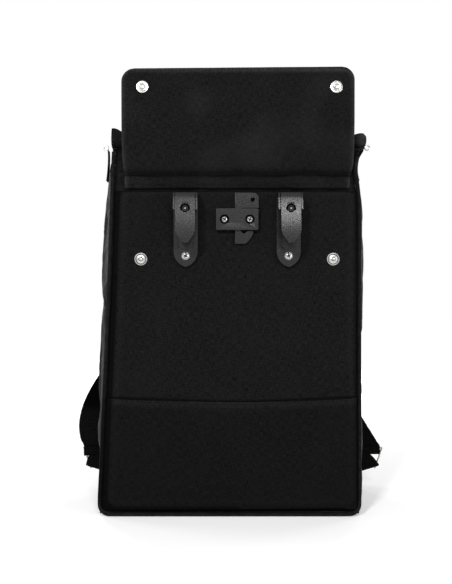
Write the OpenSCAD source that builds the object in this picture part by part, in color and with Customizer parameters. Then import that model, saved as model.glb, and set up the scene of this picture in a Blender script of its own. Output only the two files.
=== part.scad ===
// Pannier bag that turns into a backpack. A canvas body carries two rack hooks and a stabiliser
// under a snap-down cover flap, has a folded and rolled top, and shoulder straps on its far side.
// Millimetres, +Z up. The rack side faces -Y. The origin is the middle of the base.

/* [Body] */
// Width of the body across its side seams
bag_w = 282; // [260:1:310]
// Depth of the body from back panel to front panel
bag_d = 140; // [120:1:170]
// Height of the walls
wall_h = 410; // [400:1:440]
// How far each gusset swells out at mid depth
gusset_bulge = 14; // [8:1:20]
// Thickness of the canvas walls
cloth_t = 2.5; // [2:0.1:3]
// Thickness of the padded front panel
front_pad_t = 8; // [6:0.5:9]
// Thickness of the base
base_t = 5; // [4:0.5:6]
// Radius of the piping cord in the seams
pipe_r = 2.2; // [1.8:0.1:2.4]
// Radius of the piping's centre line at the bottom corners
pipe_bend = 9; // [7:0.5:12]

/* [Back] */
// Height of the padded back panel's top edge, under the flap's seam
back_panel_top = 363.1; // [362:0.1:364]
// Thickness of the padded back panel
back_panel_t = 3; // [2.5:0.1:3.5]
// Height of the lower reinforcement's top edge
lower_panel_top = 130; // [90:1:170]
// Thickness of the stiffener board behind the back panel
board_t = 2.5; // [2:0.1:3]

/* [Cover flap] */
// Width of the flap
flap_w = 256; // [236:1:264]
// Length of the flap from its seam to its free edge
flap_len = 134.7; // [125:0.1:145]
// Distance of the crease from the seam, enough to pass over the hooks
flap_crease = 32; // [31.5:0.5:36]
// Thickness of the doubled flap
flap_t = 2.6; // [2:0.1:2.8]
// Lean of the turned-up flap against the rolled top, in degrees
flap_lean = 2.5; // [2:0.1:3]
// Radius of the snap fasteners
snap_r = 7.35; // [6:0.05:7.5]
// Distance between the two snaps of the flap
socket_gap = 215.4; // [200:0.2:220]
// Distance between the two snap studs of the back panel
stud_gap = 213.4; // [200:0.2:220]
// Height of the snap studs
stud_z = 286.5; // [284:0.5:290]

/* [Rack hooks] */
// Distance between the two hooks
hook_gap = 114; // [110:1:130]
// Width of a hook's base plate
hook_w = 26.5; // [26:0.1:28]
// Diameter of the largest rack tube
tube_d = 16; // [14:0.5:16]
// Height of the tube's centre
tube_z = 347; // [346.5:0.5:348]
// Depth of a hook from the back panel
hook_depth = 27.5; // [27.5:0.1:28]

/* [Stabiliser] */
// Width of the clamp bar
clamp_w = 46.7; // [46:0.1:48]
// Height of the clamp bar
clamp_h = 23.7; // [23:0.1:24]
// Distance between the two clamp screws
clamp_screw_gap = 28; // [27.5:0.1:28.5]
// Thickness of the sliding blade
blade_t = 3.2; // [3:0.1:3.2]
// Travel of the blade
blade_travel = 7; // [4:0.5:7]

/* [Shoulder straps] */
// Width of a shoulder pad at its top
pad_w = 52; // [46:1:56]
// Thickness of a shoulder pad
pad_t = 9; // [7:0.5:9]
// Width of the webbing under a pad
webbing_w = 28; // [25:0.5:30]
// Wire radius of the triangular rings
ring_wire_r = 1.1; // [1:0.05:1.2]

/* [Hidden] */
$fn = 48;

canvas = [0.09, 0.09, 0.09];
webbing = [0.07, 0.07, 0.07];
moulded = [0.16, 0.16, 0.17];
nickel = [0.78, 0.77, 0.74];
board_grey = [0.3, 0.3, 0.3];

run_gap = 0.3;
cut = 1;

// Planes through the depth of the bag, from the rack side to the far side
back_y = -bag_d / 2;
front_y = bag_d / 2;
board_y = back_y + back_panel_t;
lining_y = board_y + board_t;
backing_t = 2;
nut_y = lining_y + backing_t;
front_in_y = front_y - front_pad_t;

// Seams, where a piping cord lies between a panel and a gusset
half_w = bag_w / 2;
seam_allowance = 3;
pipe_inset = 1.8;
panel_half = half_w - seam_allowance;
pipe_x = panel_half + pipe_r;
back_pipe_y = back_y + pipe_inset;
gusset_y0 = back_pipe_y + pipe_r;
front_pipe_y = front_in_y + pipe_r;
pipe_z = base_t + pipe_r;
panel_z0 = pipe_z + pipe_r;
panel_r = pipe_bend - pipe_r;
back_pipe_top = 395;
front_pipe_top = 405;

// Gusset arc through both seams, swelling by gusset_bulge at mid depth
gusset_half = (front_in_y - gusset_y0) / 2;
gusset_r = (gusset_half ^ 2 + gusset_bulge ^ 2) / (2 * gusset_bulge);
gusset_cx = half_w + gusset_bulge - gusset_r;
gusset_cy = (front_in_y + gusset_y0) / 2;

collar_t = 2;
collar_z0 = 352;
board_top = 360;
board_half = 130;
board_z0 = 14;
lower_panel_t = 1.2;
lower_panel_inset = 2;
sewn_corner = 1;
rim_gap = 0.1;

// Fixing points on the back panel, as x and z
hook_x = hook_gap / 2;
hook_screw_z = [290, 322];
shank_r = 2;
small_shank_r = 1.6;
clamp_z = 330.3;
hole_gap = 0.2;
fit_gap = 0.05;
key_share = 0.45;
key_floor = 0.35;
screw_end = 4;
hook_head_r = 4.7;
hook_head_h = 2.4;
channel_head_h = 2.2;
hook_nut_r = 4.2;
hook_nut_h = 3.6;
backing_half = 12;
backing_z = [280, 332];
backing_corner = 4;

// Flap hem, where the flap is sewn along the top of the back panel
hem_r = 1.5;
hem_y = back_y + hem_r;
hem_z = back_panel_top + hem_r + run_gap;
root_half = 124;
flap_corner = 13;
socket_h = 114.2;
snap_t = 2;
snap_mouth_r = 3;
snap_floor = 0.5;
cap_t = 1.4;
rivet_r = 2;
stud_h = 3.4;
stud_ball_r = 2.6;
stud_ring_t = 1.6;
stud_rim = 1.8;
stud_floor = 0.6;
washer_r = 6;
washer_t = 1.2;

// Rack hooks
plate_t = 4;
plate_y = back_y - plate_t;
hook_top = 360.5;
hook_half = hook_w / 2;
cheek_t = 2;
arm_half = hook_half - cheek_t;
tube_r = tube_d / 2;
seat_wall = 1.5;
tube_y = plate_y - seat_wall - tube_r;
arm_y = back_y - hook_depth;
tongue_y = tube_y - tube_r - run_gap;
cheek_step = 2;
cheek_y = arm_y + cheek_step;
cheek_z0 = 339;
plate_straight_z = 295;
plate_arc_r = 18;
plate_tip_z = 270;
channel_depth = 2;
channel_z0 = 299;
tongue_straight_z = 317;
tongue_tip_z = 303;
tongue_arc_r = 17;
adjuster_z = 340;
adjuster_r = 4.1;
jaw_half = 7;
jaw_t = 2.5;
jaw_z = [333, 346.7];
nose_r = 1.5;
nose_end = 0.9;
jaw_floor = 0.8;
adjuster_sink = 0.4;
adjuster_key = 0.55;
adjuster_key_depth = 1.6;

// Stabiliser
clamp_t = 3;
blade_y1 = back_y - run_gap;
blade_y0 = blade_y1 - blade_t;
clamp_y = blade_y0 - run_gap;
clamp_front_y = clamp_y - clamp_t;
blade_x0 = -2.4;
blade_spine_x1 = 5.5;
clamp_screw_x = clamp_screw_gap / 2;
clamp_corner = 2;
clamp_foot_gap = 3;
clamp_foot_x1 = 20;
sink_r = 5.25;
sink_depth = 2;
clamp_head_r = 3.9;
clamp_head_h = 1.9;
clamp_nut_r = 3.8;
clamp_nut_h = 3.4;
blade_gap = 0.65;
blade_z = [303.3, 360];
blade_arm_x1 = 24.2;
blade_corner = 6.5;
blade_tail_x1 = 17.9;
tail_arc_r = 22.8;
tail_arc_at = [-4, 322];
tether_r = 2.4;
tether_at = [17.3, 352.2];
notch_r = 3.5;
notch_at = [7.8, 318.6];

// Rolled top
cover_t = 3;
cover_gap = 0.5;
cover_z = wall_h + cover_gap;
cover_half = 143.6;
cover_y0 = -63;
hinge_y = 66;
hinge_z = cover_z + cover_t / 2;
roll_r = 8.5;
roll_y = -54;
side_ring_r = 2.6;
side_wire_r = 0.8;
side_ring_x = cover_half + side_ring_r + side_wire_r;
side_strap_y = [-66, -54];
side_strap_z0 = 374;
side_strap_t = 1.2;

// Shoulder strap on the right: the pad's and the webbing's centre lines
yoke_t = 4;
yoke_half = 64;
yoke_z = [370, 404];
yoke_corner = 6;
pad_y = front_y + yoke_t + pad_t / 2;
pad_path = [[34, pad_y, 396], [34, pad_y, 384], [36, pad_y, 372], [42, 88, 345], [50, 98, 310],
    [62, 105, 268], [82, 107, 225], [108, 103, 190], [130, 94, 164]];
pad_end_w = 34;
webbing_path = [[130, 94, 164], [144, 87, 148], [158, 79, 132], [170, 68, 108], [177, 58, 82],
    [175.75, 50, 62], [175.75, 48, 53.8]];
webbing_t = 2;
webbing_end_w = 21.5;
buckle_w = 38;
buckle_t = 6;
buckle_run = [8, 28];
buckle_slack = 1.6;

// Triangular ring: webbing side from A to B along X, tab side from A to C
ring_y = 48;
ring_a = [160, ring_y, 52];
ring_b = [190, ring_y, 52];
ring_c = [181, ring_y, 26];
loop_r = 3;
tab_tube_r = 4.2;
tab_t = 3;
tab_run = [10, 29];
tab_sewn = [[146, 5], [140, 5], [140, 44], [150, 46]];
tab_clear = 4;

function unit(v) = v / norm(v);
function tangent(path, i) = unit(path[min(i + 1, len(path) - 1)] - path[max(i - 1, 0)]);
function band_corners(centre, along, width, thick) =
    let(across = unit(cross(along, [0, 1, 0])), up = cross(along, across))
    [for (corner = [[1, 1], [-1, 1], [-1, -1], [1, -1]])
        centre + across * corner[0] * width / 2 + up * corner[1] * thick / 2];

module box(low, high) {
    translate(low) cube(high - low);
}

module rod_x(r, x0, x1, y, z) {
    translate([x0, y, z]) rotate([0, 90, 0]) cylinder(h = x1 - x0, r = r);
}

module rod_y(r, y0, y1, x, z) {
    translate([x, y1, z]) rotate([90, 0, 0]) cylinder(h = y1 - y0, r = r);
}

module rod_z(r, z0, z1, x, y) {
    translate([x, y, z0]) cylinder(h = z1 - z0, r = r);
}

// Straight wire between two points of a plane at constant y
module wire(r, from, to) {
    run = to - from;
    translate(from) rotate([0, atan2(run[0], run[2]), 0]) cylinder(h = norm(run), r = r);
}

module both_sides() {
    children();
    mirror([1, 0, 0]) children();
}

module left() {
    mirror([1, 0, 0]) children();
}

// Upright plate with round corners of radius r0 below and r1 above
module plate_xz(half, z0, z1, y0, y1, r0, r1) {
    box([-half, y0, z0 + r0], [half, y1, z1 - r1]);
    box([-half + r0, y0, z0], [half - r0, y1, z0 + r0]);
    box([-half + r1, y0, z1 - r1], [half - r1, y1, z1]);
    both_sides() rod_y(r0, y0, y1, half - r0, z0 + r0);
    both_sides() rod_y(r1, y0, y1, half - r1, z1 - r1);
}

// Flat band swept along a path, its width across the path and square to Y
module band(path, w0, w1, thick) {
    last = len(path) - 1;
    corners = [for (i = [0:last])
        each band_corners(path[i], tangent(path, i), w0 + (w1 - w0) * i / last, thick)];
    sides = [for (i = [0:last - 1], k = [0:3])
        let(a = 4 * i + k, b = 4 * i + (k + 1) % 4)
        each [[a, b + 4, b], [a, a + 4, b + 4]]];
    first_end = [[0, 1, 2], [0, 2, 3]];
    last_end = [for (face = [[0, 3, 2], [0, 2, 1]]) [for (k = face) 4 * last + k]];
    polyhedron(points = corners, faces = concat(sides, first_end, last_end));
}

// Piping cord along both side seams and the bottom seam of a panel
module seam_piping(y, top) {
    bend_x = pipe_x - pipe_bend;
    bend_z = pipe_z + pipe_bend;
    rod_x(pipe_r, -bend_x, bend_x, y, pipe_z);
    both_sides() rod_z(pipe_r, bend_z, top, pipe_x, y);
    both_sides() translate([bend_x, y, bend_z]) rotate([90, 0, 0]) rotate([0, 0, -90])
        rotate_extrude(angle = 90) translate([pipe_bend, 0]) circle(pipe_r);
}

module gusset_drum(r, z0, z1) {
    rod_z(r, z0, z1, gusset_cx, gusset_cy, $fn = 180);
}

// Holes for every screw and rivet through the back of the bag
module fixing_holes(y0, y1) {
    for (z = hook_screw_z) {
        both_sides() rod_y(shank_r + hole_gap, y0, y1, hook_x, z);
    }
    both_sides() rod_y(small_shank_r + hole_gap, y0, y1, clamp_screw_x, clamp_z);
    both_sides() rod_y(rivet_r + hole_gap, y0, y1, stud_gap / 2, stud_z);
}

// Domed screw with a hexagon socket, its head on y_seat and facing -Y
module dome_screw(x, z, y_seat, y_end, head_r, head_h, r) {
    dome_r = (head_r ^ 2 + head_h ^ 2) / (2 * head_h);
    socket_r = head_r * key_share;
    rod_y(r, y_seat, y_end, x, z);
    difference() {
        intersection() {
            translate([x, y_seat - head_h + dome_r, z]) sphere(dome_r);
            rod_y(head_r, y_seat - head_h - cut, y_seat, x, z);
        }
        rod_y(socket_r, y_seat - head_h - cut, y_seat - head_h * key_floor, x, z, $fn = 6);
    }
}

module hex_nut(x, z, y0, y1, r, bore_r) {
    difference() {
        rod_y(r, y0, y1, x, z, $fn = 6);
        rod_y(bore_r, y0 - cut, y1 + cut, x, z);
    }
}

// The walls

module back_panel() color(canvas) {
    difference() {
        plate_xz(panel_half, panel_z0, back_panel_top, back_y, board_y, panel_r, flap_corner);
        fixing_holes(back_y - cut, board_y + cut);
    }
}

module back_collar() color(canvas) {
    box([-panel_half, lining_y, collar_z0], [panel_half, lining_y + collar_t, wall_h - rim_gap]);
}

module lower_panel() color(canvas) {
    plate_xz(panel_half - lower_panel_inset, panel_z0, lower_panel_top, back_y - lower_panel_t, back_y,
        panel_r, sewn_corner);
}

module back_piping() color(canvas) {
    seam_piping(back_pipe_y, back_pipe_top);
}

module right_gusset() color(canvas) {
    intersection() {
        difference() {
            gusset_drum(gusset_r, base_t, wall_h);
            gusset_drum(gusset_r - cloth_t, base_t - cut, wall_h + cut);
        }
        box([0, gusset_y0, base_t], [bag_w, front_in_y, wall_h]);
    }
}

module left_gusset() left() right_gusset();

module front_panel() color(canvas) {
    plate_xz(panel_half, panel_z0, wall_h, front_in_y, front_y, panel_r, sewn_corner);
}

module front_piping() color(canvas) {
    seam_piping(front_pipe_y, front_pipe_top);
}

module base_panel() color(canvas) {
    box([-half_w, back_y, 0], [half_w, front_y, base_t]);
    both_sides() intersection() {
        gusset_drum(gusset_r, 0, base_t);
        box([0, gusset_y0, 0], [bag_w, front_in_y, base_t]);
    }
}

module stiffener_board() color(board_grey) {
    difference() {
        plate_xz(board_half, board_z0, board_top, board_y, lining_y, pipe_bend, pipe_bend);
        fixing_holes(board_y - cut, lining_y + cut);
    }
}

// The rack hooks

module hook_base() color(moulded) {
    arc_x = plate_arc_r - hook_half;
    slot_r = tube_r + 2 * run_gap;
    difference() {
        union() {
            box([-hook_half, plate_y, plate_straight_z], [hook_half, back_y, hook_top]);
            intersection() {
                rod_y(plate_arc_r, plate_y, back_y, arc_x, plate_straight_z);
                rod_y(plate_arc_r, plate_y, back_y, -arc_x, plate_straight_z);
                box([-hook_half, plate_y, plate_tip_z], [hook_half, back_y, plate_straight_z]);
            }
            both_sides() box([arm_half, cheek_y, cheek_z0], [hook_half, plate_y, hook_top]);
        }
        box([-jaw_half, plate_y - cut, channel_z0],
            [jaw_half, plate_y + channel_depth, tube_z]);
        rod_x(slot_r, -hook_w, hook_w, tube_y, tube_z);
        box([-hook_w, tube_y - slot_r, cheek_z0 - cut], [hook_w, tube_y + slot_r, tube_z]);
        for (z = hook_screw_z) {
            rod_y(shank_r + hole_gap, plate_y - cut, back_y + cut, 0, z);
        }
    }
}

module hook_arm() color(moulded) {
    arc_x = tongue_arc_r - arm_half;
    difference() {
        union() {
            box([-arm_half, arm_y, tube_z], [arm_half, plate_y, hook_top]);
            box([-arm_half, arm_y, tongue_straight_z], [arm_half, tongue_y, tube_z]);
            intersection() {
                rod_y(tongue_arc_r, arm_y, tongue_y, arc_x, tongue_straight_z);
                rod_y(tongue_arc_r, arm_y, tongue_y, -arc_x, tongue_straight_z);
                box([-arm_half, arm_y, tongue_tip_z], [arm_half, tongue_y, tongue_straight_z]);
            }
        }
        rod_x(tube_r, -hook_w, hook_w, tube_y, tube_z);
        box([-jaw_half - run_gap, tongue_y - jaw_t - run_gap, jaw_z[0] - run_gap],
            [jaw_half + run_gap, tongue_y + cut, jaw_z[1] + run_gap]);
        rod_y(adjuster_r + run_gap, arm_y - cut, tongue_y, 0, adjuster_z);
    }
}

module tube_jaw() color(moulded) {
    difference() {
        box([-jaw_half, tongue_y - jaw_t, jaw_z[0]], [jaw_half, tongue_y, jaw_z[1]]);
        rod_y(nose_r + fit_gap, tongue_y - jaw_t - cut, tongue_y - jaw_floor, 0, adjuster_z);
    }
}

module adjusting_screw() color(nickel) {
    seat_y = tongue_y - jaw_t - rim_gap;
    head_y = arm_y + adjuster_sink;
    difference() {
        union() {
            rod_y(adjuster_r, head_y, seat_y, 0, adjuster_z);
            rod_y(nose_r, seat_y, tongue_y - nose_end, 0, adjuster_z);
        }
        rod_y(adjuster_r * adjuster_key, head_y - cut, head_y + adjuster_key_depth, 0, adjuster_z,
            $fn = 6);
    }
}

module at_left_hook() translate([-hook_x, 0, 0]) children();

module at_right_hook() translate([hook_x, 0, 0]) children();

module left_hook_base() at_left_hook() hook_base();

module right_hook_base() at_right_hook() hook_base();

module left_hook_arm() at_left_hook() hook_arm();

module right_hook_arm() at_right_hook() hook_arm();

module left_tube_jaw() at_left_hook() tube_jaw();

module right_tube_jaw() at_right_hook() tube_jaw();

module left_adjusting_screw() at_left_hook() adjusting_screw();

module right_adjusting_screw() at_right_hook() adjusting_screw();

module hook_screws() color(nickel) {
    for (x = [-hook_x, hook_x]) {
        dome_screw(x, hook_screw_z[0], plate_y, nut_y + screw_end, hook_head_r, hook_head_h,
            shank_r);
        dome_screw(x, hook_screw_z[1], plate_y + channel_depth, nut_y + screw_end, hook_head_r,
            channel_head_h, shank_r);
    }
}

module hook_nuts() color(nickel) {
    for (x = [-hook_x, hook_x], z = hook_screw_z) {
        hex_nut(x, z, nut_y, nut_y + hook_nut_h, hook_nut_r, shank_r + fit_gap);
    }
}

module hook_backing_plates() color(nickel) {
    for (x = [-hook_x, hook_x]) {
        difference() {
            translate([x, 0, 0]) plate_xz(backing_half, backing_z[0], backing_z[1], lining_y,
                nut_y, backing_corner, backing_corner);
            for (z = hook_screw_z) {
                rod_y(shank_r + hole_gap, lining_y - cut, nut_y + cut, x, z);
            }
        }
    }
}

// The stabiliser

module stabiliser_clamp() color(moulded) {
    z0 = clamp_z - clamp_h / 2;
    z1 = clamp_z + clamp_h / 2;
    half = clamp_w / 2;
    left_foot_x1 = blade_x0 - blade_travel - run_gap;
    difference() {
        union() {
            plate_xz(half, z0, z1, clamp_front_y, clamp_y, clamp_corner, clamp_corner);
            box([-half, clamp_y, z0], [left_foot_x1, back_y, z1]);
            box([blade_spine_x1 + clamp_foot_gap, clamp_y, z0 + run_gap],
                [clamp_foot_x1, back_y, z1 - run_gap]);
        }
        both_sides() rod_y(sink_r, clamp_front_y - cut, clamp_front_y + sink_depth, clamp_screw_x,
            clamp_z);
        both_sides() rod_y(small_shank_r + hole_gap, clamp_front_y - cut, back_y + cut,
            clamp_screw_x, clamp_z);
    }
}

module stabiliser_screws() color(nickel) {
    for (x = [-clamp_screw_x, clamp_screw_x]) {
        dome_screw(x, clamp_z, clamp_front_y + sink_depth, lining_y + screw_end, clamp_head_r,
            clamp_head_h, small_shank_r);
    }
}

module stabiliser_nuts() color(nickel) {
    for (x = [-clamp_screw_x, clamp_screw_x]) {
        hex_nut(x, clamp_z, lining_y, lining_y + clamp_nut_h, clamp_nut_r, small_shank_r + fit_gap);
    }
}

// C-shaped blade: its notch takes the clamp's right foot, its upper arm has a tether hole
module stabiliser_blade() color(moulded) {
    arm_z = [clamp_z - clamp_h / 2 - blade_gap, clamp_z + clamp_h / 2 + blade_gap];
    top_z = blade_z[1];
    round_x = blade_arm_x1 - blade_corner;
    round_z = top_z - blade_corner;
    difference() {
        union() {
            box([blade_x0, blade_y0, blade_z[0]], [blade_spine_x1, blade_y1, top_z]);
            box([blade_x0, blade_y0, arm_z[1]], [round_x, blade_y1, top_z]);
            box([blade_x0, blade_y0, arm_z[1]], [blade_arm_x1, blade_y1, round_z]);
            rod_y(blade_corner, blade_y0, blade_y1, round_x, round_z);
            intersection() {
                box([blade_x0, blade_y0, blade_z[0]], [blade_tail_x1, blade_y1, arm_z[0]]);
                rod_y(tail_arc_r, blade_y0, blade_y1, tail_arc_at[0], tail_arc_at[1]);
            }
        }
        rod_y(tether_r, blade_y0 - cut, blade_y1 + cut, tether_at[0], tether_at[1]);
        rod_y(notch_r, blade_y0 - cut, blade_y1 + cut, notch_at[0], notch_at[1]);
    }
}

// The snaps

module panel_snap_studs() color(nickel) {
    both_sides() {
        rod_y(rivet_r, back_y - stud_h, lining_y + washer_t, stud_gap / 2, stud_z);
        translate([stud_gap / 2, back_y - stud_h, stud_z]) sphere(stud_ball_r);
        difference() {
            rod_y(snap_r, back_y - stud_ring_t, back_y, stud_gap / 2, stud_z);
            rod_y(snap_r - stud_rim, back_y - stud_ring_t - cut, back_y - stud_floor, stud_gap / 2,
                stud_z);
        }
    }
}

module panel_snap_washers() color(nickel) {
    both_sides() difference() {
        rod_y(washer_r, lining_y, lining_y + washer_t, stud_gap / 2, stud_z);
        rod_y(rivet_r + fit_gap, lining_y - cut, lining_y + washer_t + cut, stud_gap / 2, stud_z);
    }
}

// The cover flap, turned up, in its own frame: hem along X at the origin, cloth rising along +Z

module on_flap() translate([0, hem_y, hem_z]) rotate([-flap_lean, 0, 0]) children();

module flap_root() color(canvas) on_flap() {
    rod_x(hem_r, -root_half, root_half, 0, 0);
    box([-root_half, -flap_t / 2, 0], [root_half, flap_t / 2, flap_crease - flap_t / 2 - run_gap]);
}

module flap_panel() color(canvas) on_flap() {
    rod_x(flap_t / 2, -flap_w / 2, flap_w / 2, 0, flap_crease);
    difference() {
        union() {
            box([-flap_w / 2, -flap_t / 2, flap_crease],
                [flap_w / 2, flap_t / 2, flap_len - flap_corner]);
            box([-flap_w / 2 + flap_corner, -flap_t / 2, flap_len - flap_corner],
                [flap_w / 2 - flap_corner, flap_t / 2, flap_len]);
            both_sides() rod_y(flap_corner, -flap_t / 2, flap_t / 2, flap_w / 2 - flap_corner,
                flap_len - flap_corner);
        }
        both_sides() rod_y(rivet_r + hole_gap, -flap_t, flap_t, socket_gap / 2, socket_h);
    }
}

module flap_snap_sockets() color(nickel) on_flap() {
    both_sides() difference() {
        rod_y(snap_r, -flap_t / 2 - snap_t, -flap_t / 2, socket_gap / 2, socket_h);
        rod_y(snap_mouth_r, -flap_t / 2 - snap_t - cut, -flap_t / 2 - snap_floor, socket_gap / 2,
            socket_h);
    }
}

module flap_snap_caps() color(nickel) on_flap() {
    both_sides() {
        rod_y(snap_r, flap_t / 2, flap_t / 2 + cap_t, socket_gap / 2, socket_h);
        rod_y(rivet_r, -flap_t / 2, flap_t / 2, socket_gap / 2, socket_h);
    }
}

// The rolled top, hinged along the front panel's top edge

module top_cover() color(canvas) {
    box([-cover_half, cover_y0, cover_z], [cover_half, hinge_y, cover_z + cover_t]);
    rod_x(cover_t / 2, -cover_half, cover_half, hinge_y, hinge_z);
    both_sides() intersection() {
        gusset_drum(gusset_r, cover_z, cover_z + cover_t);
        box([0, side_strap_y[1], cover_z], [bag_w, front_in_y, cover_z + cover_t]);
    }
}

module cover_roll() color(canvas) {
    rod_x(roll_r, -cover_half, cover_half, roll_y, cover_z + cover_t + roll_r);
}

module right_side_ring() color(nickel) {
    translate([side_ring_x, (side_strap_y[0] + side_strap_y[1]) / 2, hinge_z]) rotate([90, 0, 0])
        rotate_extrude() translate([side_ring_r, 0]) circle(side_wire_r);
}

module left_side_ring() left() right_side_ring();

module right_side_strap() color(webbing) {
    top = hinge_z - side_ring_r - side_wire_r;
    box([side_ring_x - side_strap_t / 2, side_strap_y[0], side_strap_z0],
        [side_ring_x + side_strap_t / 2, side_strap_y[1], top]);
}

module left_side_strap() left() right_side_strap();

// The shoulder straps

module strap_yoke() color(canvas) {
    plate_xz(yoke_half, yoke_z[0], yoke_z[1], front_y, front_y + yoke_t, yoke_corner, yoke_corner);
}

module right_shoulder_strap() color(canvas) {
    band(pad_path, pad_w, pad_end_w, pad_t);
}

module left_shoulder_strap() left() right_shoulder_strap();

// Webbing that leaves the pad, runs through the adjuster and ends in a sewn loop round the ring
module right_strap_webbing() color(webbing) {
    loop_x = [for (side = [-1, 1]) webbing_path[len(webbing_path) - 1][0] + side * webbing_end_w / 2];
    difference() {
        union() {
            band(webbing_path, webbing_w, webbing_end_w, webbing_t);
            rod_x(loop_r, loop_x[0], loop_x[1], ring_y, ring_a[2]);
        }
        rod_x(ring_wire_r + run_gap, loop_x[0] - cut, loop_x[1] + cut, ring_y, ring_a[2]);
    }
}

module left_strap_webbing() left() right_strap_webbing();

// Ladder adjuster: a frame round the webbing on its straight run below the pad
module right_strap_adjuster() color(moulded) {
    start = webbing_path[0];
    run = unit(webbing_path[1] - start);
    difference() {
        band([for (s = buckle_run) start + s * run], buckle_w, buckle_w, buckle_t);
        band([start + (buckle_run[0] - cut) * run, start + (buckle_run[1] + cut) * run],
            webbing_w + buckle_slack, webbing_w + buckle_slack, webbing_t + buckle_slack);
    }
}

module left_strap_adjuster() left() right_strap_adjuster();

// Webbing tab from the gusset to the ring, with a sewn loop round the ring's slanted side
module right_strap_tab() color(webbing) {
    slant = unit(ring_c - ring_a);
    loop_a = ring_a + tab_run[0] * slant;
    loop_c = ring_a + tab_run[1] * slant;
    difference() {
        union() {
            translate([0, ring_y + tab_t / 2, 0]) rotate([90, 0, 0]) linear_extrude(tab_t)
                polygon(concat([[loop_a[0], loop_a[2]], [loop_c[0], loop_c[2]]], tab_sewn));
            wire(tab_tube_r, loop_a, loop_c);
        }
        wire(loop_r, ring_a - tab_clear * slant, ring_c + tab_clear * slant);
        gusset_drum(gusset_r, -cut, wall_h);
    }
}

module left_strap_tab() left() right_strap_tab();

module right_strap_ring() color(nickel) {
    corners = [ring_a, ring_b, ring_c];
    for (i = [0:2]) {
        wire(ring_wire_r, corners[i], corners[(i + 1) % 3]);
        translate(corners[i]) sphere(ring_wire_r);
    }
}

module left_strap_ring() left() right_strap_ring();

back_panel();
back_collar();
lower_panel();
back_piping();
left_gusset();
right_gusset();
front_panel();
front_piping();
base_panel();
stiffener_board();
left_hook_base();
right_hook_base();
left_hook_arm();
right_hook_arm();
hook_screws();
hook_nuts();
hook_backing_plates();
stabiliser_clamp();
stabiliser_screws();
stabiliser_nuts();
panel_snap_studs();
panel_snap_washers();
strap_yoke();
left_shoulder_strap();
right_shoulder_strap();
left_strap_adjuster();
right_strap_adjuster();
left_strap_webbing();
right_strap_webbing();
left_strap_tab();
right_strap_tab();
flap_root();
flap_panel();
flap_snap_sockets();
flap_snap_caps();
top_cover();
cover_roll();
left_side_strap();
right_side_strap();
left_side_ring();
right_side_ring();
left_tube_jaw();
right_tube_jaw();
left_adjusting_screw();
right_adjusting_screw();
stabiliser_blade();
left_strap_ring();
right_strap_ring();
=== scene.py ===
import math

import bmesh
import bpy
from mathutils import Matrix, Vector, noise


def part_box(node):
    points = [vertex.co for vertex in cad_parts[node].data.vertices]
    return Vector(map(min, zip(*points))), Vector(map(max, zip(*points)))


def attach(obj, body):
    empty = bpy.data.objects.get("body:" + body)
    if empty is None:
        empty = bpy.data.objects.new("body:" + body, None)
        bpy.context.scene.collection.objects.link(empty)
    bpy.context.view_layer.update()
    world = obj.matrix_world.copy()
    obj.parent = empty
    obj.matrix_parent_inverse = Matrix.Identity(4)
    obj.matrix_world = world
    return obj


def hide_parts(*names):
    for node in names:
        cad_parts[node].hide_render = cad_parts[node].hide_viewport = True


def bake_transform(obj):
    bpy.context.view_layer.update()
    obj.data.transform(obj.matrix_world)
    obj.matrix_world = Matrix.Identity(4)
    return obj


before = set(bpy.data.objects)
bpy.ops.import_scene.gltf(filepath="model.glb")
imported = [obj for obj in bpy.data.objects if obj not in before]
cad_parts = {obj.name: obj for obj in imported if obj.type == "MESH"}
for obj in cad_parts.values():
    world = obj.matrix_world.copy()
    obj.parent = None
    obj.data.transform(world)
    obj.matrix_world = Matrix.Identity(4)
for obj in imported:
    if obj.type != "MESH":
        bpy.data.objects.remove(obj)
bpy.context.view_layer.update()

scene = bpy.context.scene
scene.view_settings.view_transform = "Standard"
mm = 0.001

# The photograph's view: the bag stands upright and is seen square-on from its rack side. The camera
# is at half the bag's height and a little to the left, so that the left gusset just shows.
view_distance = 800 * mm
view_height_on_bag = 648.8 * mm
back_plane = -70 * mm
photo_camera = bpy.data.objects.new("photo_camera", bpy.data.cameras.new("photo_camera"))
photo_camera.location = (-35 * mm, back_plane - view_distance, 250 * mm)
photo_camera.rotation_euler = (math.radians(90), 0, 0)
photo_camera.data.sensor_width = 36
photo_camera.data.lens = 36 * view_distance / view_height_on_bag
photo_camera.data.shift_x = 22.8 * mm / view_height_on_bag
scene.collection.objects.link(photo_camera)
scene.camera = photo_camera


# Studio floor and light: a matt white paper floor that runs out of sight, and a white surround. Two
# small soft boxes stand in front, large ones at both sides and behind, and one hangs overhead.
def linear(hex_colour):
    """An sRGB hex colour as linear RGBA."""
    parts = [int(hex_colour[i:i + 2], 16) / 255 for i in (1, 3, 5)]
    return [c / 12.92 if c <= 0.04045 else ((c + 0.055) / 1.055) ** 2.4 for c in parts] + [1]


def add(tree, kind, inputs=None, **settings):
    """Adds a shader node; inputs are values or the sockets that feed them."""
    new = tree.nodes.new("ShaderNode" + kind)
    for key, value in settings.items():
        setattr(new, key, value)
    for key, value in (inputs or {}).items():
        if isinstance(value, bpy.types.NodeSocket):
            tree.links.new(value, new.inputs[key])
        else:
            new.inputs[key].default_value = value
    return new


def blank_material(name):
    """A new material and its empty node tree."""
    material = bpy.data.materials.new(name)
    material.use_nodes = True
    material.node_tree.nodes.clear()
    return material, material.node_tree


def backdrop_rays(tree):
    """1 for rays that show the backdrop, also in metal and through glass, and 0 for rays that light."""
    rays = add(tree, "LightPath").outputs
    seen = add(tree, "Math", {0: rays["Is Camera Ray"], 1: rays["Is Glossy Ray"]}, operation="MAXIMUM")
    seen = add(tree, "Math", {0: seen.outputs[0], 1: rays["Is Transmission Ray"]}, operation="MAXIMUM")
    return seen.outputs[0]


paper, tree = blank_material("white_studio_paper")
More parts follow.
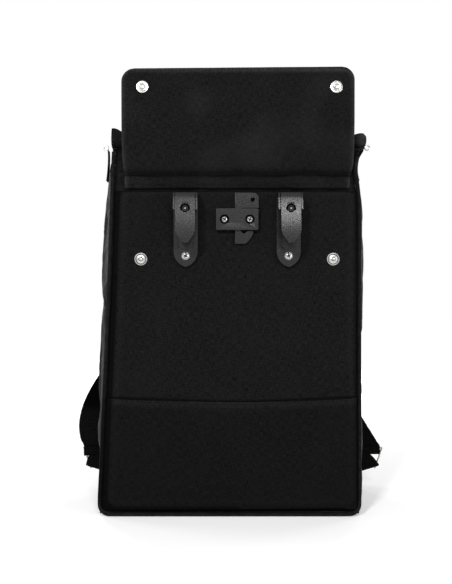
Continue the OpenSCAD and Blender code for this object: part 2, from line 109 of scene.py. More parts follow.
# Matt uncoated paper, mottled every 3 mm or so. It fades to plain white away from the bag's shadow.
where = add(tree, "TexCoord").outputs["Object"]
away = add(tree, "VectorMath", {0: where}, operation="LENGTH")
white_out = add(tree, "MapRange", {
    "Value": away.outputs["Value"], "From Min": 0.4, "From Max": 1.6, "To Min": 0.2, "To Max": 1.0})
glow = add(tree, "Math", {0: backdrop_rays(tree), 1: white_out.outputs["Result"]}, operation="MULTIPLY")
sheet_fibre = add(tree, "TexNoise", {"Vector": where, "Scale": 300.0})
tone = add(tree, "MapRange", {"Value": sheet_fibre.outputs["Fac"], "To Min": 0.93, "To Max": 0.97})
paper_face = add(tree, "BsdfDiffuse", {"Color": tone.outputs["Result"]})
paper_glow = add(tree, "Emission", {"Color": (1, 1, 1, 1), "Strength": glow.outputs[0]})
both = add(tree, "AddShader", {0: paper_face.outputs[0], 1: paper_glow.outputs[0]})
add(tree, "OutputMaterial", {"Surface": both.outputs[0]})

floor_mesh = bmesh.new()
bmesh.ops.create_circle(floor_mesh, cap_ends=True, segments=64, radius=6)
studio_floor = bpy.data.objects.new("studio_floor", bpy.data.meshes.new("studio_floor"))
floor_mesh.to_mesh(studio_floor.data)
floor_mesh.free()
studio_floor.data.materials.append(paper)
scene.collection.objects.link(studio_floor)

scene.world = bpy.data.worlds.new("white_surround")
scene.world.use_nodes = True
tree = scene.world.node_tree
tree.nodes.clear()
level = add(tree, "MapRange", {"Value": backdrop_rays(tree), "To Min": 0.1, "To Max": 1.0})
surround = add(tree, "Background", {"Color": (1, 1, 1, 1), "Strength": level.outputs["Result"]})
add(tree, "OutputWorld", {"Surface": surround.outputs[0]})

bag_middle = Vector((0, 0, 0.25))
for lamp_name, place, width, height, watts in (
        ("front_soft_box", (0.19, -1.4, 0.92), 0.2, 0.28, 6.5),
        ("left_soft_box", (-0.5, -1.3, 0.95), 0.2, 0.2, 14.5),
        ("right_soft_box", (1.1, -0.9, 0.45), 0.5, 0.5, 6),
        ("left_rim_box", (-1.4, 0.5, 0.45), 0.5, 0.5, 7),
        ("right_rim_box", (1.3, 0.75, 0.45), 0.5, 0.5, 6.5),
        ("back_left_box", (-0.8, 1.3, 0.45), 0.5, 0.5, 10),
        ("back_right_box", (0.7, 1.3, 0.45), 0.5, 0.5, 7),
        ("top_soft_box", (0.0, 0.1, 1.6), 1.2, 1.2, 3.5)):
    lamp = bpy.data.lights.new(lamp_name, "AREA")
    lamp.shape, lamp.size, lamp.size_y, lamp.energy = "RECTANGLE", width, height, watts
    soft_box = bpy.data.objects.new(lamp_name, lamp)
    soft_box.location = place
    soft_box.rotation_euler = (bag_middle - Vector(place)).to_track_quat("-Z", "Y").to_euler()
    scene.collection.objects.link(soft_box)


# Back panel: the side that lies against the rack. Canvas over thin foam and a board, quilted down
# along its edges, so a flat raised field stands inside a sunk margin next to the piping.
canvas, tree = blank_material("black_cotton_canvas")
# Dense plain weave, dyed black and slightly napped: dull, with a grey bloom of lint, paler rubbed
# edges, and a sheen where it is seen edge-on. Shade in seams, margins and creases is painted in as
# near-black colour over the lint, and some pale edges are painted highlight. The real threads lie
# 0.6 mm apart and are drawn at 0.9 mm. The thick and thin places of their yarn, about 6 mm long, are
# drawn 0.8 mm wide. Both are that coarse so that they show.
thread_step, yarn_w, yarn_run = 0.9 * mm, 0.8 * mm, 6 * mm
slub_w, bloom_w = 5 * mm, 60 * mm
# A wave texture of this scale has one band to a metre.
bands_per_metre = 2 * math.pi / 20
where = add(tree, "TexCoord").outputs["Object"]
threads = add(tree, "UVMap", uv_map="threads").outputs["UV"]
rows_of_thread, yarns = [], []
for axis, stretch in (("X", (1 / yarn_w, 1 / yarn_run, 1)), ("Y", (1 / yarn_run, 1 / yarn_w, 1))):
    rows_of_thread.append(add(tree, "TexWave", {
        "Vector": threads, "Scale": bands_per_metre / thread_step, "Distortion": 0.9, "Detail": 1.0,
        "Detail Scale": 1.5}, bands_direction=axis).outputs["Fac"])
    drawn = add(tree, "Mapping", {"Vector": threads, "Scale": stretch})
    uneven = add(tree, "TexNoise", {"Vector": drawn.outputs[0], "Scale": 1.0, "Detail": 2.0})
    yarns.append(uneven.outputs["Fac"])
weave = add(tree, "Math", {0: rows_of_thread[0], 1: rows_of_thread[1]}, operation="ADD")
yarn = add(tree, "Math", {0: yarns[0], 1: yarns[1]}, operation="ADD")
slub = add(tree, "TexNoise", {"Vector": where, "Scale": 1 / slub_w, "Detail": 3.0, "Roughness": 0.65})
bloom = add(tree, "TexNoise", {"Vector": where, "Scale": 1 / bloom_w, "Detail": 5.0, "Roughness": 0.6})
shade = add(tree, "Math", {0: weave.outputs[0], 1: 0.12, 2: yarn.outputs[0]}, operation="MULTIPLY_ADD")
height = add(tree, "Math", {0: weave.outputs[0], 1: yarn.outputs[0]}, operation="MULTIPLY")
evened = add(tree, "Math", {0: shade.outputs[0], 1: 0.5}, operation="MULTIPLY")
ramp = add(tree, "ValToRGB", {"Fac": evened.outputs[0]})
for stop, place, colour in zip(ramp.color_ramp.elements, (0.42, 0.7), ("#060606", "#1c1b1c")):
    stop.position, stop.color = place, linear(colour)
lint = add(tree, "MapRange", {
    "Value": bloom.outputs["Fac"], "From Min": 0.42, "From Max": 0.75, "To Min": 0.0, "To Max": 0.22})
linty = add(tree, "Mix", {
    0: lint.outputs["Result"], 6: ramp.outputs["Color"], 7: linear("#1c1c1c")}, data_type="RGBA")
# Pale marks: rubbed wear, and painted highlight on the lower panel's folded edge and the roll's right end.
wear_and_highlight = add(tree, "Attribute", attribute_name="wear_and_highlight")
wear_and_highlight_amount = add(tree, "Math", {0: wear_and_highlight.outputs["Fac"], 1: slub.outputs["Fac"]}, operation="MULTIPLY")
cloth_with_wear_and_highlight = add(tree, "Mix", {0: wear_and_highlight_amount.outputs[0], 6: linty.outputs[2], 7: linear("#3c3c3c")}, data_type="RGBA")
# Painted shade: darkens the cloth nearly to black in seams, margins, creases and under overhangs.
painted_shade = add(tree, "Attribute", attribute_name="painted_shade")
cloth_with_painted_shade = add(tree, "Mix", {
    0: painted_shade.outputs["Fac"], 6: cloth_with_wear_and_highlight.outputs[2], 7: linear("#020202")}, data_type="RGBA")
relief = add(tree, "Bump", {"Height": height.outputs[0], "Strength": 0.35, "Distance": 0.2 * mm})
nap = add(tree, "MapRange", {"Value": slub.outputs["Fac"], "To Min": 0.82, "To Max": 1.0})
cloth_face = add(tree, "BsdfPrincipled", {
    "Base Color": cloth_with_painted_shade.outputs[2], "Roughness": nap.outputs["Result"], "IOR": 1.45,
    "Specular IOR Level": 0.04, "Sheen Weight": 0.2, "Sheen Roughness": 0.22,
    "Sheen Tint": linear("#c8c8cc"), "Normal": relief.outputs[0]})
add(tree, "OutputMaterial", {"Surface": cloth_face.outputs[0]})


def eased(rows, at):
    """Smooth value at a height, between rows of (height, value)."""
    if at <= rows[0][0]:
        return rows[0][1]
    for i in range(len(rows) - 1):
        (z0, a0), (z1, a1) = rows[i], rows[i + 1]
        if at <= z1:
            before, after = rows[max(i - 1, 0)], rows[min(i + 2, len(rows) - 1)]
            m0 = (a1 - before[1]) / (z1 - before[0]) * (z1 - z0)
            m1 = (after[1] - a0) / (after[0] - z0) * (z1 - z0)
            t = (at - z0) / (z1 - z0)
            return (a0 * (2 * t ** 3 - 3 * t ** 2 + 1) + m0 * (t ** 3 - 2 * t ** 2 + t)
                    + a1 * (3 * t ** 2 - 2 * t ** 3) + m1 * (t ** 3 - t ** 2))
    return rows[-1][1]


def ramped(low, high, at):
    """0 below low, 1 above high, smooth between."""
    t = min(max((at - low) / (high - low), 0), 1)
    return t * t * (3 - 2 * t)


def hump(at, middle, width):
    """A smooth hump of height 1 round its middle, which falls off within about the given width."""
    return math.exp(-((at - middle) / width) ** 2)


def cloth_grid(columns, rows, lay):
    """A gridded piece of cloth; lay(u, v) gives each point's place in millimetres."""
    cloth = bmesh.new()
    bmesh.ops.create_grid(cloth, x_segments=columns, y_segments=rows, size=0.5)
    for vert in cloth.verts:
        vert.co = Vector(lay(vert.co.x + 0.5, vert.co.y + 0.5)) * mm
    bmesh.ops.recalc_face_normals(cloth, faces=cloth.faces)
    return cloth


def piece(shape, name, material, body="bag", facing=None):
    """Makes a bmesh an object that rides on a body; facing turns an open sheet's outer side."""
    shape.normal_update()
    if facing is not None:
        if sum((face.normal.dot(Vector(facing)) * face.calc_area() for face in shape.faces), 0) < 0:
            bmesh.ops.reverse_faces(shape, faces=shape.faces)
    if material is canvas:
        # the weave's map, in metres: each face as seen along the axis that it faces
        weave_map = shape.loops.layers.uv.new("threads")
        for face in shape.faces:
            away = max(range(3), key=lambda i: abs(face.normal[i]))
            across, up = [i for i in range(3) if i != away]
            for corner in face.loops:
                corner[weave_map].uv = corner.vert.co[across], corner.vert.co[up]
    data = bpy.data.meshes.new(name)
    shape.to_mesh(data)
    shape.free()
    data.materials.append(material)
    data.shade_smooth()
    thing = bpy.data.objects.new(name, data)
    scene.collection.objects.link(thing)
    if body is not None:
        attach(thing, body)
    return thing


def rounded(thing, name, width, segments, angle):
    """Rounds a piece's edges that are sharper than an angle in degrees."""
    rim = thing.modifiers.new(name, "BEVEL")
    rim.width, rim.segments = width * mm, segments
    rim.limit_method, rim.angle_limit = "ANGLE", math.radians(angle)
    return rim


def thicken(thing, thickness, edge_round, offset=-1):
    """Gives a sheet its thickness, inwards unless told otherwise, and rounds its cut edges."""
    wall = thing.modifiers.new("thickness", "SOLIDIFY")
    wall.thickness, wall.offset = thickness * mm, offset
    rounded(thing, "edge_round", edge_round, 2, 50)


def mark(thing, wear, amount):
    """Stores an amount for each point of a piece, from amount(point): how pale it is, or how dark its painted
    shade is.
    """
    layer = thing.data.attributes.new(wear, "FLOAT", "POINT")
    layer.data.foreach_set(
        "value", [min(max(amount(vert.co / mm), 0), 1) for vert in thing.data.vertices])


def ripple(x, z, size, seed):
    """Unevenness of a hand-sewn panel, from -1 to 1, with bumps of about the given size."""
    return noise.noise(Vector((x / size, z / size, seed)))


# Seam lines of the back, as (height, x) of the piping's centre: it flares at the lower left and is
# drawn in at the upper right, where the turned-up flap and the rolled top pull on it.
left_seam = [
    (0, -152.6), (19, -152.8), (60, -150.8), (97, -149.4), (163, -146.4), (252, -142.6), (363, -138.8),
    (391, -138.2), (412, -137.4)]
right_seam = [
    (0, 136.0), (19, 136.4), (200, 136.2), (350, 136.0), (376, 133.4), (391, 132.2), (401, 135), (412, 139)]
# The lower panel's top edge, as (x, height).
lower_edge = [(-150, 132), (-75, 129.6), (0, 127.8), (75, 130), (140, 133)]
margin_y, field_y = -68.5, -69.9
back_foot, field_foot, field_top = 4.6, 11, 366.5
margin_w, field_corner = (8.5, 5.2), 12
field_crown, stitch_groove, foot_groove, top_groove = 1.1, 0.7, 2.8, 3.8
# Left and right: how dark the margin's painted shade is, the left one darker as it faces away from the
# light, and how far from the cord the painted dark line beside it fades out.
margin_shade, cord_line = (0.78, 0.4), ((3.8, 5.6), (2.9, 4.2))


def back_edges(z):
    """The back's left and right seams at a height."""
    return eased(left_seam, z), eased(right_seam, z)


def from_seam(x, z):
    """Distance in from the nearer of the back's two side seams."""
    left, right = back_edges(z)
    return min(x - left, right - x)


def inside_field(x, z):
    """Distance in from the raised field's outline."""
    left, right = eased(left_seam, z) + margin_w[0], eased(right_seam, z) - margin_w[1]
    dx = abs(x - (left + right) / 2) - (right - left) / 2 + field_corner
    dz = abs(z - (field_top + field_foot) / 2) - (field_top - field_foot) / 2 + field_corner
    return field_corner - min(max(dx, dz), 0) - math.hypot(max(dx, 0), max(dz, 0))


def back_face(x, z):
    """Front of the back panel: the sunk margin, the field's step, and the field's soft crown."""
    inside = inside_field(x, z)
    rise = ramped(-1, 6, inside)
    crown = field_crown * ramped(10, 90, inside) * (1 - ramped(225, 275, z))
    groove = stitch_groove * hump(inside, -1, 1.2) + foot_groove * (1 - ramped(4.4, 8.6, z))
    groove += top_groove * ramped(361.2, 363.6, z)
    uneven = 0.35 * ripple(x, z, 45, 3.1) + 0.12 * ripple(x, z, 14, 7.7)
    calm = 1 - 0.85 * ramped(265, 290, z) * ramped(10, 25, inside)
    return margin_y + (field_y - margin_y) * rise - crown + groove + uneven * calm


def back_painted_shade(x, z):
    """Painted shade on the back's seams: margin, line beside the cord, foot and top."""
    half = 0 if x < 0 else 1
    margin = margin_shade[half] * (1 - ramped(-1.5, 2.5, inside_field(x, z)))
    beside_cord = 1 - ramped(*cord_line[half], from_seam(x, z))
    return max(margin, beside_cord, 1 - ramped(7, 9.6, z), 0.97 * ramped(360.6, 362.6, z))


def spread(u):
    """Places a grid's columns closer together towards both edges, where the seams are."""
    return u - 0.11 * math.sin(2 * math.pi * u)


def lay_back(u, v):
    z = back_foot + v * (field_top - back_foot)
    left, right = back_edges(z)
    x = left + spread(u) * (right - left)
    return x, back_face(x, z), z


back = piece(cloth_grid(120, 240, lay_back), "back_panel_cloth", canvas, facing=(0, -1, 0))
mark(back, "wear_and_highlight", lambda p: 0.08 * hump(inside_field(p.x, p.z), 5, 3.5))
# Painted shade on the back's seams, and a painted shadow just above the lower panel's hem.
mark(back, "painted_shade", lambda p: max(back_painted_shade(p.x, p.z), 0.9 * hump(p.z - eased(lower_edge, p.x), 0.9, 1.3)))
thicken(back, 2.4, 0.6)
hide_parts("back_panel")

# Lower reinforcement: a second layer of canvas over the bottom third of the back, turned under
# along its top edge and held there by two rows of topstitching.
hem_w, hem_rows = 6.7, (1.8, 6.7)
lower_x, lower_foot, lower_inset, lower_t = (-144, 134), 5, 1.2, 1.25


def below_hem(x, z):
    """Depth below the lower panel's top edge."""
    return eased(lower_edge, x) - z


def lower_face(x, z):
    below = below_hem(x, z)
    hem = 0.45 * (1 - ramped(hem_w - 1, hem_w + 1, below)) * ramped(0, 1.2, below)
    return back_face(x, z) - lower_t - hem - 0.25 * ripple(x, z, 20, 12.3) * ramped(hem_w, 25, below)


def lay_lower(u, v):
    across = lower_x[0] + u * (lower_x[1] - lower_x[0])
    z = lower_foot + v * (eased(lower_edge, across) - lower_foot)
    left, right = eased(left_seam, z) + lower_inset, eased(right_seam, z) - lower_inset
    x = left + spread(u) * (right - left)
    return x, lower_face(x, z), z


def lower_wear_and_highlight(x, z):
    """Rubbed wear on the lower panel's hem and field step, and painted highlight on its folded edge."""
    below = below_hem(x, z)
    return 0.12 * hump(below, 4.5, 2.6) + 0.4 * hump(below, 0, 1.2) + 0.06 * hump(inside_field(x, z), 5, 3.5)


lower = piece(cloth_grid(120, 100, lay_lower), "lower_panel_cloth", canvas, facing=(0, -1, 0))
mark(lower, "wear_and_highlight", lambda p: lower_wear_and_highlight(p.x, p.z))
# Painted shade on the seams, and the panel a little darker below its hem, where less light falls.
mark(lower, "painted_shade", lambda p: max(back_painted_shade(p.x, p.z), 0.22 * ramped(6, 12, below_hem(p.x, p.z))))
thicken(lower, 0.9, 0.3)
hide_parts("lower_panel")

sewing_thread, tree = blank_material("black_polyester_thread")
# Twisted bonded thread: a slightly glossy ply, as black as the canvas round it.
# The ply twists about every 0.7 mm.
where = add(tree, "TexCoord").outputs["Object"]
ply = add(tree, "TexNoise", {"Vector": where, "Scale": 1 / (0.7 * mm), "Detail": 1.0})
ramp = add(tree, "ValToRGB", {"Fac": ply.outputs["Fac"]})
for stop, place, colour in zip(ramp.color_ramp.elements, (0.3, 0.7), ("#0a0a0a", "#1c1c1c")):
    stop.position, stop.color = place, linear(colour)
relief = add(tree, "Bump", {"Height": ply.outputs["Fac"], "Strength": 0.4, "Distance": 0.1 * mm})
thread_face = add(tree, "BsdfPrincipled", {
    "Base Color": ramp.outputs["Color"], "Roughness": 0.6, "IOR": 1.5, "Specular IOR Level": 0.06,
    "Normal": relief.outputs[0]})
add(tree, "OutputMaterial", {"Surface": thread_face.outputs[0]})


def sew(name, runs, facing, body="bag", pitch=4.2, length=3.0, width=0.75, rise=0.4):
    """Rows of stitches along runs of points in millimetres, each a flat bead pulled into the cloth."""
    row = bmesh.new()
    for run in runs:
        points = [Vector(p) for p in run]
        left_over = pitch / 2
        for a, b in zip(points, points[1:]):
            span = (b - a).length
            while left_over <= span:
                along = (b - a).normalized()
                across = along.cross(Vector(facing)).normalized()
                out = across.cross(along)
                at = Matrix.Translation((a + along * left_over) * mm)
                turn = Matrix((along * length / 2, across * width / 2, out * rise)).transposed().to_4x4()
                bmesh.ops.create_icosphere(row, subdivisions=1, radius=mm, matrix=at @ turn)
                left_over += pitch
            left_over -= span
    return piece(row, name, sewing_thread, body)


hem_runs = [[(x, eased(lower_edge, x) - drop) for x in range(-142, 134, 4)] for drop in hem_rows]
sew("lower_panel_stitches", [
    [(x, lower_face(x, z) - 0.1, z) for x, z in run] for run in hem_runs], (0, -1, 0))

# Back collar: the single canvas wall above the back panel, between the flap and the rolled top. It is
# sewn in behind the panel's top edge and leans in towards the roll.
collar_y, collar_z = -66.2, (354, 410)


def lay_collar(u, v):
    z = collar_z[0] + v * (collar_z[1] - collar_z[0])
    left, right = back_edges(z)
    x = left + u * (right - left)
    edge = 1 - ramped(0, 16, min(x - left, right - x))
    lean = 2.4 * ramped(358, 388, z) + 3 * ramped(396, 412, z)
    return x, collar_y + lean - 1.2 * edge * (1 - ramped(380, 408, z)) + 0.5 * ripple(x, z, 18, 1.4), z


collar = piece(cloth_grid(90, 24, lay_collar), "back_collar_cloth", canvas, facing=(0, -1, 0))
mark(collar, "wear_and_highlight", lambda p: 0.15 * max(0, ripple(p.x, p.z, 12, 2.0)))
# Painted shade along the collar's side seams and under the roll.
mark(collar, "painted_shade", lambda p: max(
    0.85 * (1 - ramped(2.6, 6, from_seam(p.x, p.z))), 0.6 * ramped(404, 409, p.z)))
thicken(collar, 1.6, 0.4)
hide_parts("back_collar")

# Gussets: the two side walls, one width of canvas each. Loose enough to swell between the back and
# front seams, the left one more, and gathered in where the top is rolled down.
sides = ((-1, "left"), (1, "right"))
# How far each swells out, as (height, swell).
swells = {
    -1: [(0, 4), (20, 8), (60, 11.5), (100, 14.2), (163, 17), (232, 12.6), (276, 15.4), (319, 14.2),
         (365, 10), (391, 6.5), (410, 4)],
    1: [(0, 7), (40, 9.8), (230, 10.2), (300, 11.6), (340, 10.4), (391, 4), (410, 3)]}
seam_y, gusset_z = (-67.6, 63.4), (3, 409)
front_half = 140.4


def side_x(side, t, z):
    """Outer face of a gusset at a share t of its depth, from back seam to front seam."""
    back_x = eased(left_seam if side < 0 else right_seam, z)
    full = 4 * t * (1 - t)
    pull = 0.8 * math.sin(z / 23 + 2 * side) * math.exp(-t * 9)
    pull += 0.7 * math.sin(z / 19) * math.exp(-(1 - t) * 9)
    out = eased(swells[side], z) * full + pull * ramped(0, 0.08, min(t, 1 - t))
    return back_x + (side * front_half - back_x) * t + side * out


def gusset_y(t, z):
    return seam_y[0] + 4.5 * ramped(375, 410, z) * (1 - t) + (seam_y[1] - seam_y[0]) * t


def settle(cloth, held, spare, swell=0.0, weight=0.0, limit=5.0, frames=18, bend=2.0):
    """Lets a sewn piece find its own folds by cloth simulation, and keeps the settled shape.

    held(point) is how firmly the seams hold a point, spare the share of loose cloth.
    """
    seams = cloth.vertex_groups.new(name="seams")
    for vert in cloth.data.vertices:
        seams.add([vert.index], min(max(held(vert.co / mm), 0), 1), "REPLACE")
    drape = cloth.modifiers.new("drape", "CLOTH")
    hand = drape.settings
    hand.vertex_group_mass, hand.quality, hand.mass = "seams", 8, 0.3
    hand.tension_stiffness = hand.compression_stiffness = 20
    hand.shear_stiffness, hand.bending_stiffness, hand.shrink_min = 8, bend, -spare
    hand.use_pressure, hand.uniform_pressure_force = swell != 0, swell
    hand.effector_weights.gravity = weight
    drape.point_cache.frame_start, drape.point_cache.frame_end = 1, frames
    for moment in range(1, frames + 1):
        scene.frame_set(moment)
    settled = cloth.evaluated_get(bpy.context.evaluated_depsgraph_get())
    for vert, after in zip(cloth.data.vertices, [vert.co.copy() for vert in settled.data.vertices]):
        move = after - vert.co
        vert.co += move * min(1, limit * mm / max(move.length, 1e-9))
    cloth.modifiers.remove(drape)
    cloth.vertex_groups.remove(seams)
    scene.frame_set(1)


def from_gusset_seam(p):
    """Distance in from a gusset's back and front seams."""
    return min(p.y - seam_y[0], seam_y[1] - p.y)


def gusset_held(p):
    """How firmly the seams all round hold a point of a gusset."""
    return 1 - ramped(1.5, 9, min(from_gusset_seam(p), p.z - gusset_z[0], gusset_z[1] - p.z))


for side, word in sides:

    def lay_gusset(u, v):
        z = gusset_z[0] + v * (gusset_z[1] - gusset_z[0])
        return side_x(side, u, z), gusset_y(u, z), z

    gusset = piece(cloth_grid(44, 136, lay_gusset), word + "_gusset_cloth", canvas, facing=(side, 0, 0))
    mark(gusset, "wear_and_highlight", lambda p: 0.25 * max(0, ripple(p.y, p.z, 22, 5.0)))
    # Painted shade along the gusset's seams.
    mark(gusset, "painted_shade", lambda p: 0.9 * (1 - ramped(1.5, 7, from_gusset_seam(p))))
    settle(gusset, gusset_held, spare=0.014, swell=0.2, limit=2.2, bend=6)
    thicken(gusset, 1.8, 0.4)
    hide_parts(word + "_gusset")

# Front panel: the far side, which lies on the wearer's back. Canvas over foam, crowned between its
# seams, with the strap yoke sewn on near the top.
front_y, front_z, front_crown = 66.2, (4.6, 409.6), 5.5


def front_face(x, z):
    inside = min(front_half - abs(x), z - front_z[0], 2 * (410 - z))
    step = 3.4 * ramped(0, 12, inside)
    crown = front_crown * ramped(10, 110, inside) * (1 - ramped(300, 360, z))
    return front_y + step + crown + 0.5 * ripple(x, z, 38, 9.2) + 0.2 * ripple(x, z, 13, 4.4)


def lay_front(u, v):
    x, z = (2 * u - 1) * front_half, front_z[0] + v * (front_z[1] - front_z[0])
    return x, front_face(x, z), z


def front_held(p):
    """How firmly the seams all round hold a point of the front panel."""
    return 1 - 0.97 * ramped(1.5, 10, min(front_half - abs(p.x), p.z - front_z[0], front_z[1] - p.z))


front = piece(cloth_grid(96, 136, lay_front), "front_panel_cloth", canvas, facing=(0, 1, 0))
mark(front, "wear_and_highlight", lambda p: 0.2 * hump(front_half - abs(p.x), 9, 4))
settle(front, front_held, spare=0.015, swell=0.6, limit=4)
thicken(front, 3, 0.6)
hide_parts("front_panel")

# Base: doubled canvas over a foam sheet, turned up a few millimetres all round and sewn into the
# bottom seams of the four walls.
base_back, base_depth = seam_y[0] - 0.6, seam_y[1] - seam_y[0] + 3
base_z, base_turn_up = 0.4, 4.2


def lay_base(u, v):
    y = base_back + v * base_depth
    t = min(max((y - seam_y[0]) / (seam_y[1] - seam_y[0]), 0), 1)
    left, right = side_x(-1, t, gusset_z[0]), side_x(1, t, gusset_z[0])
    x = left + u * (right - left)
    edge = min(u * (right - left), (1 - u) * (right - left), v * base_depth, (1 - v) * base_depth)
    uneven = 0.3 * abs(ripple(x, y, 30, 2.2)) * ramped(6, 30, edge)
    return x, y, base_z + base_turn_up * (1 - ramped(0, 6, edge)) + uneven


base = piece(cloth_grid(110, 56, lay_base), "base_cloth", canvas, facing=(0, 0, -1))
mark(base, "wear_and_highlight", lambda p: 0.6 * max(0, ripple(p.x, p.y, 15, 6.0)))
thicken(base, 2.2, 0.4)
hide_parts("base_panel")

# Piping: a cord in a folded canvas strip, sewn into the seam between gusset and panel, down both
# sides and along the bottom.
pipe_r = 2.3


def tube(name, points, radius, material):
    """A round cord on the bag along points in millimetres, as a mesh with closed ends."""
    path = bpy.data.curves.new(name + "_path", "CURVE")
    path.dimensions, path.use_fill_caps = "3D", True
    path.bevel_depth, path.bevel_resolution = radius * mm, 3
    run = path.splines.new("NURBS")
    run.points.add(len(points) - 1)
    run.use_endpoint_u, run.order_u, run.resolution_u = True, 4, 4
    for spot, at in zip(run.points, points):
        spot.co = [c * mm for c in at] + [1]
    guide = bpy.data.objects.new(name + "_path", path)
    scene.collection.objects.link(guide)
    bpy.context.view_layer.update()
    drawn = guide.evaluated_get(bpy.context.evaluated_depsgraph_get())
    shape = bmesh.new()
    shape.from_mesh(bpy.data.meshes.new_from_object(drawn))
    bpy.data.objects.remove(guide)
    bmesh.ops.remove_doubles(shape, verts=shape.verts, dist=0.01 * mm)
    bmesh.ops.recalc_face_normals(shape, faces=shape.faces)
    return piece(shape, name, material, "bag")


def piping_run(y, foot, bend, left, right, top, lean):
    """Down the left seam, round the corner, along the bottom and up the right seam."""
    cz = foot + bend
    down = [(left(z), y + lean * ramped(365, top, z), z) for z in range(int(top), int(cz) + 4, -12)]
    up = [(right(z), y + lean * ramped(365, top, z), z) for z in range(int(cz) + 4, int(top) + 1, 12)]
    turns = [math.radians(a) for a in range(0, 91, 15)]
    corner_l = [(left(cz) + bend - bend * math.cos(a), y, cz - bend * math.sin(a)) for a in turns]
    corner_r = [(right(cz) - bend + bend * math.sin(a), y, cz - bend * math.cos(a)) for a in turns]
    bottom = [(left(cz) + bend + s * (right(cz) - left(cz) - 2 * bend) / 14, y, foot) for s in range(1, 14)]
    return down + corner_l + bottom + corner_r + up


def piping_painted_shade(x, z):
    """Painted shade on the back piping: low on the left, on its side to the panel, and over the foot seam."""
    up_side = ramped(12, 18, z)
    low_left = 0.8 * (1 - ramped(110, 180, z)) * ramped(0, -100, x) * up_side
    to_panel = ramped(0.5, 2, from_seam(x, z)) * up_side
    over_foot = ramped(3.4, 4.8, z) * (1 - ramped(5, 8, z)) * ramped(8, 14, min(x + 152, 136 - x))
    return 0.8 * max(low_left, to_panel, over_foot)


back_piping = tube("back_piping_cord", piping_run(
    y=-68.3, foot=2.7, bend=11, left=lambda z: eased(left_seam, z), right=lambda z: eased(right_seam, z),
    top=407, lean=5), pipe_r, canvas)
mark(back_piping, "wear_and_highlight", lambda p: 0.35 * max(0, 0.4 + ripple(p.x + p.z, p.z, 6, 8.0)))
mark(back_piping, "painted_shade", lambda p: piping_painted_shade(p.x, p.z))
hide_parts("back_piping")
front_piping = tube("front_piping_cord", piping_run(
    y=65.4, foot=4.4, bend=11, left=lambda z: -front_half, right=lambda z: front_half, top=406, lean=0),
    pipe_r, canvas)
mark(front_piping, "wear_and_highlight", lambda p: 0.55 * max(0, 0.4 + ripple(p.x + p.z, p.z, 6, 8.0)))
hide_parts("front_piping")

# Cover flap, turned up: two layers of canvas sewn into the seam at the top of the back panel and
# topstitched round their edge. It bends at a soft crease and leans back on the rolled top.
flap_lean = math.radians(2.5)
flap_seam = Vector((0, -68.5, 364.9))
flap_len, flap_corner, flap_t, flap_tuck = 134.6, 15, 2.4, 0.8
# Heights of the soft crease and of the line where the two leaves bend, and half that bend's height.
crease_h, leaf_h, leaf_bend = 14, 32, 7
# The side edges, as (height, x).
flap_left = [(0, -124.6), (14, -125.2), (24, -126.6), (50, -128.4), (135, -129.4)]
flap_right = [(0, 125.2), (12, 126.2), (19, 127.6), (26, 129.4), (60, 131.2), (135, 132.2)]


def flap_height(x, h):
    """Height up the flap with its uneven cut: its free edge rises a little to the right."""
    return h * (1 + (2.2 + 0.008 * x) / flap_len)


def on_flap(x, h, out):
    """A point of the flap: across, up from its seam, and out from its middle layer to the rack side."""
    return (x, flap_seam.y + h * math.sin(flap_lean) - out * math.cos(flap_lean),
            flap_seam.z + h * math.cos(flap_lean) + out * math.sin(flap_lean))


def flap_edges(h):
    """The flap's left and right edges at a height, with its rounded corners."""
    over = max(h - (flap_len - flap_corner), 0)
    cut_in = flap_corner - math.sqrt(max(flap_corner ** 2 - over ** 2, 0))
    return eased(flap_left, h) + cut_in, eased(flap_right, h) - cut_in


def above_crease(x, h):
    """Height above the soft crease, which wanders a little."""
    return h - crease_h - 1.5 * ripple(x, 0, 50, 4.0) - 0.5 * ripple(x, 0, 14, 6.0)


def flap_out(x, h):
    """How far the soft flap stands out from its flat plane."""
    above = above_crease(x, h)
    crease = -2.4 * hump(above, 2, 3.4) - 0.8 * hump(above, 0, 1.1)
    tuck = -4.5 * (1 - ramped(-0.8, 2.2, h))
    roll = 0.9 * hump(h, 8, 3.5) + 0.9 * hump(h, 30, 9)
    wave = (0.7 * ripple(x, h, 70, 2.6) + 0.25 * ripple(x, h, 20, 9.9)) * ramped(5, 30, h)
    return crease + tuck + roll + wave


def lay_flap(u, v):
    h = -flap_tuck + v * (flap_len + flap_tuck)
    left, right = flap_edges(h)
    x = left + u * (right - left)
    return on_flap(x, flap_height(x, h), flap_out(x, h))


def on_both_leaves(thing):
    """Bakes a piece of the flap's placing into its mesh."""
    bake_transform(thing)


def flap_rubbed(x, h):
    """How worn the flap's side edges and its free edge are."""
    left, right = flap_edges(h)
    return 0.85 * hump(min(x - left, right - x, flap_len - h), 0, 2.8)


def flap_painted_shade(x, h):
    """Painted shade on the flap's seam, its first row of stitches and its soft crease."""
    above = above_crease(x, h)
    crease = 0.55 * hump(above, 3, 4.5) + 0.6 * max(0, 0.8 + ripple(x, 0, 30, 8.8)) * hump(above, 0, 1.1)
    row = 0.4 * max(0, 0.5 + ripple(x, 0, 40, 5.1)) * hump(h, 4.6, 0.9)
    return max(0.97 * (1 - ramped(0.3, 2.5, h)), crease, row)


flap = piece(cloth_grid(116, 132, lay_flap), "cover_flap", canvas, body=None, facing=(0, -1, 0))
mark(flap, "wear_and_highlight", lambda p: (
    flap_rubbed(p.x, p.z - flap_seam.z) + 0.25 * max(0, ripple(p.x, p.z, 40, 3.3))))
mark(flap, "painted_shade", lambda p: flap_painted_shade(p.x, p.z - flap_seam.z))
thicken(flap, flap_t, 0.7, offset=0)
on_both_leaves(flap)
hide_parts("flap_root", "flap_panel")

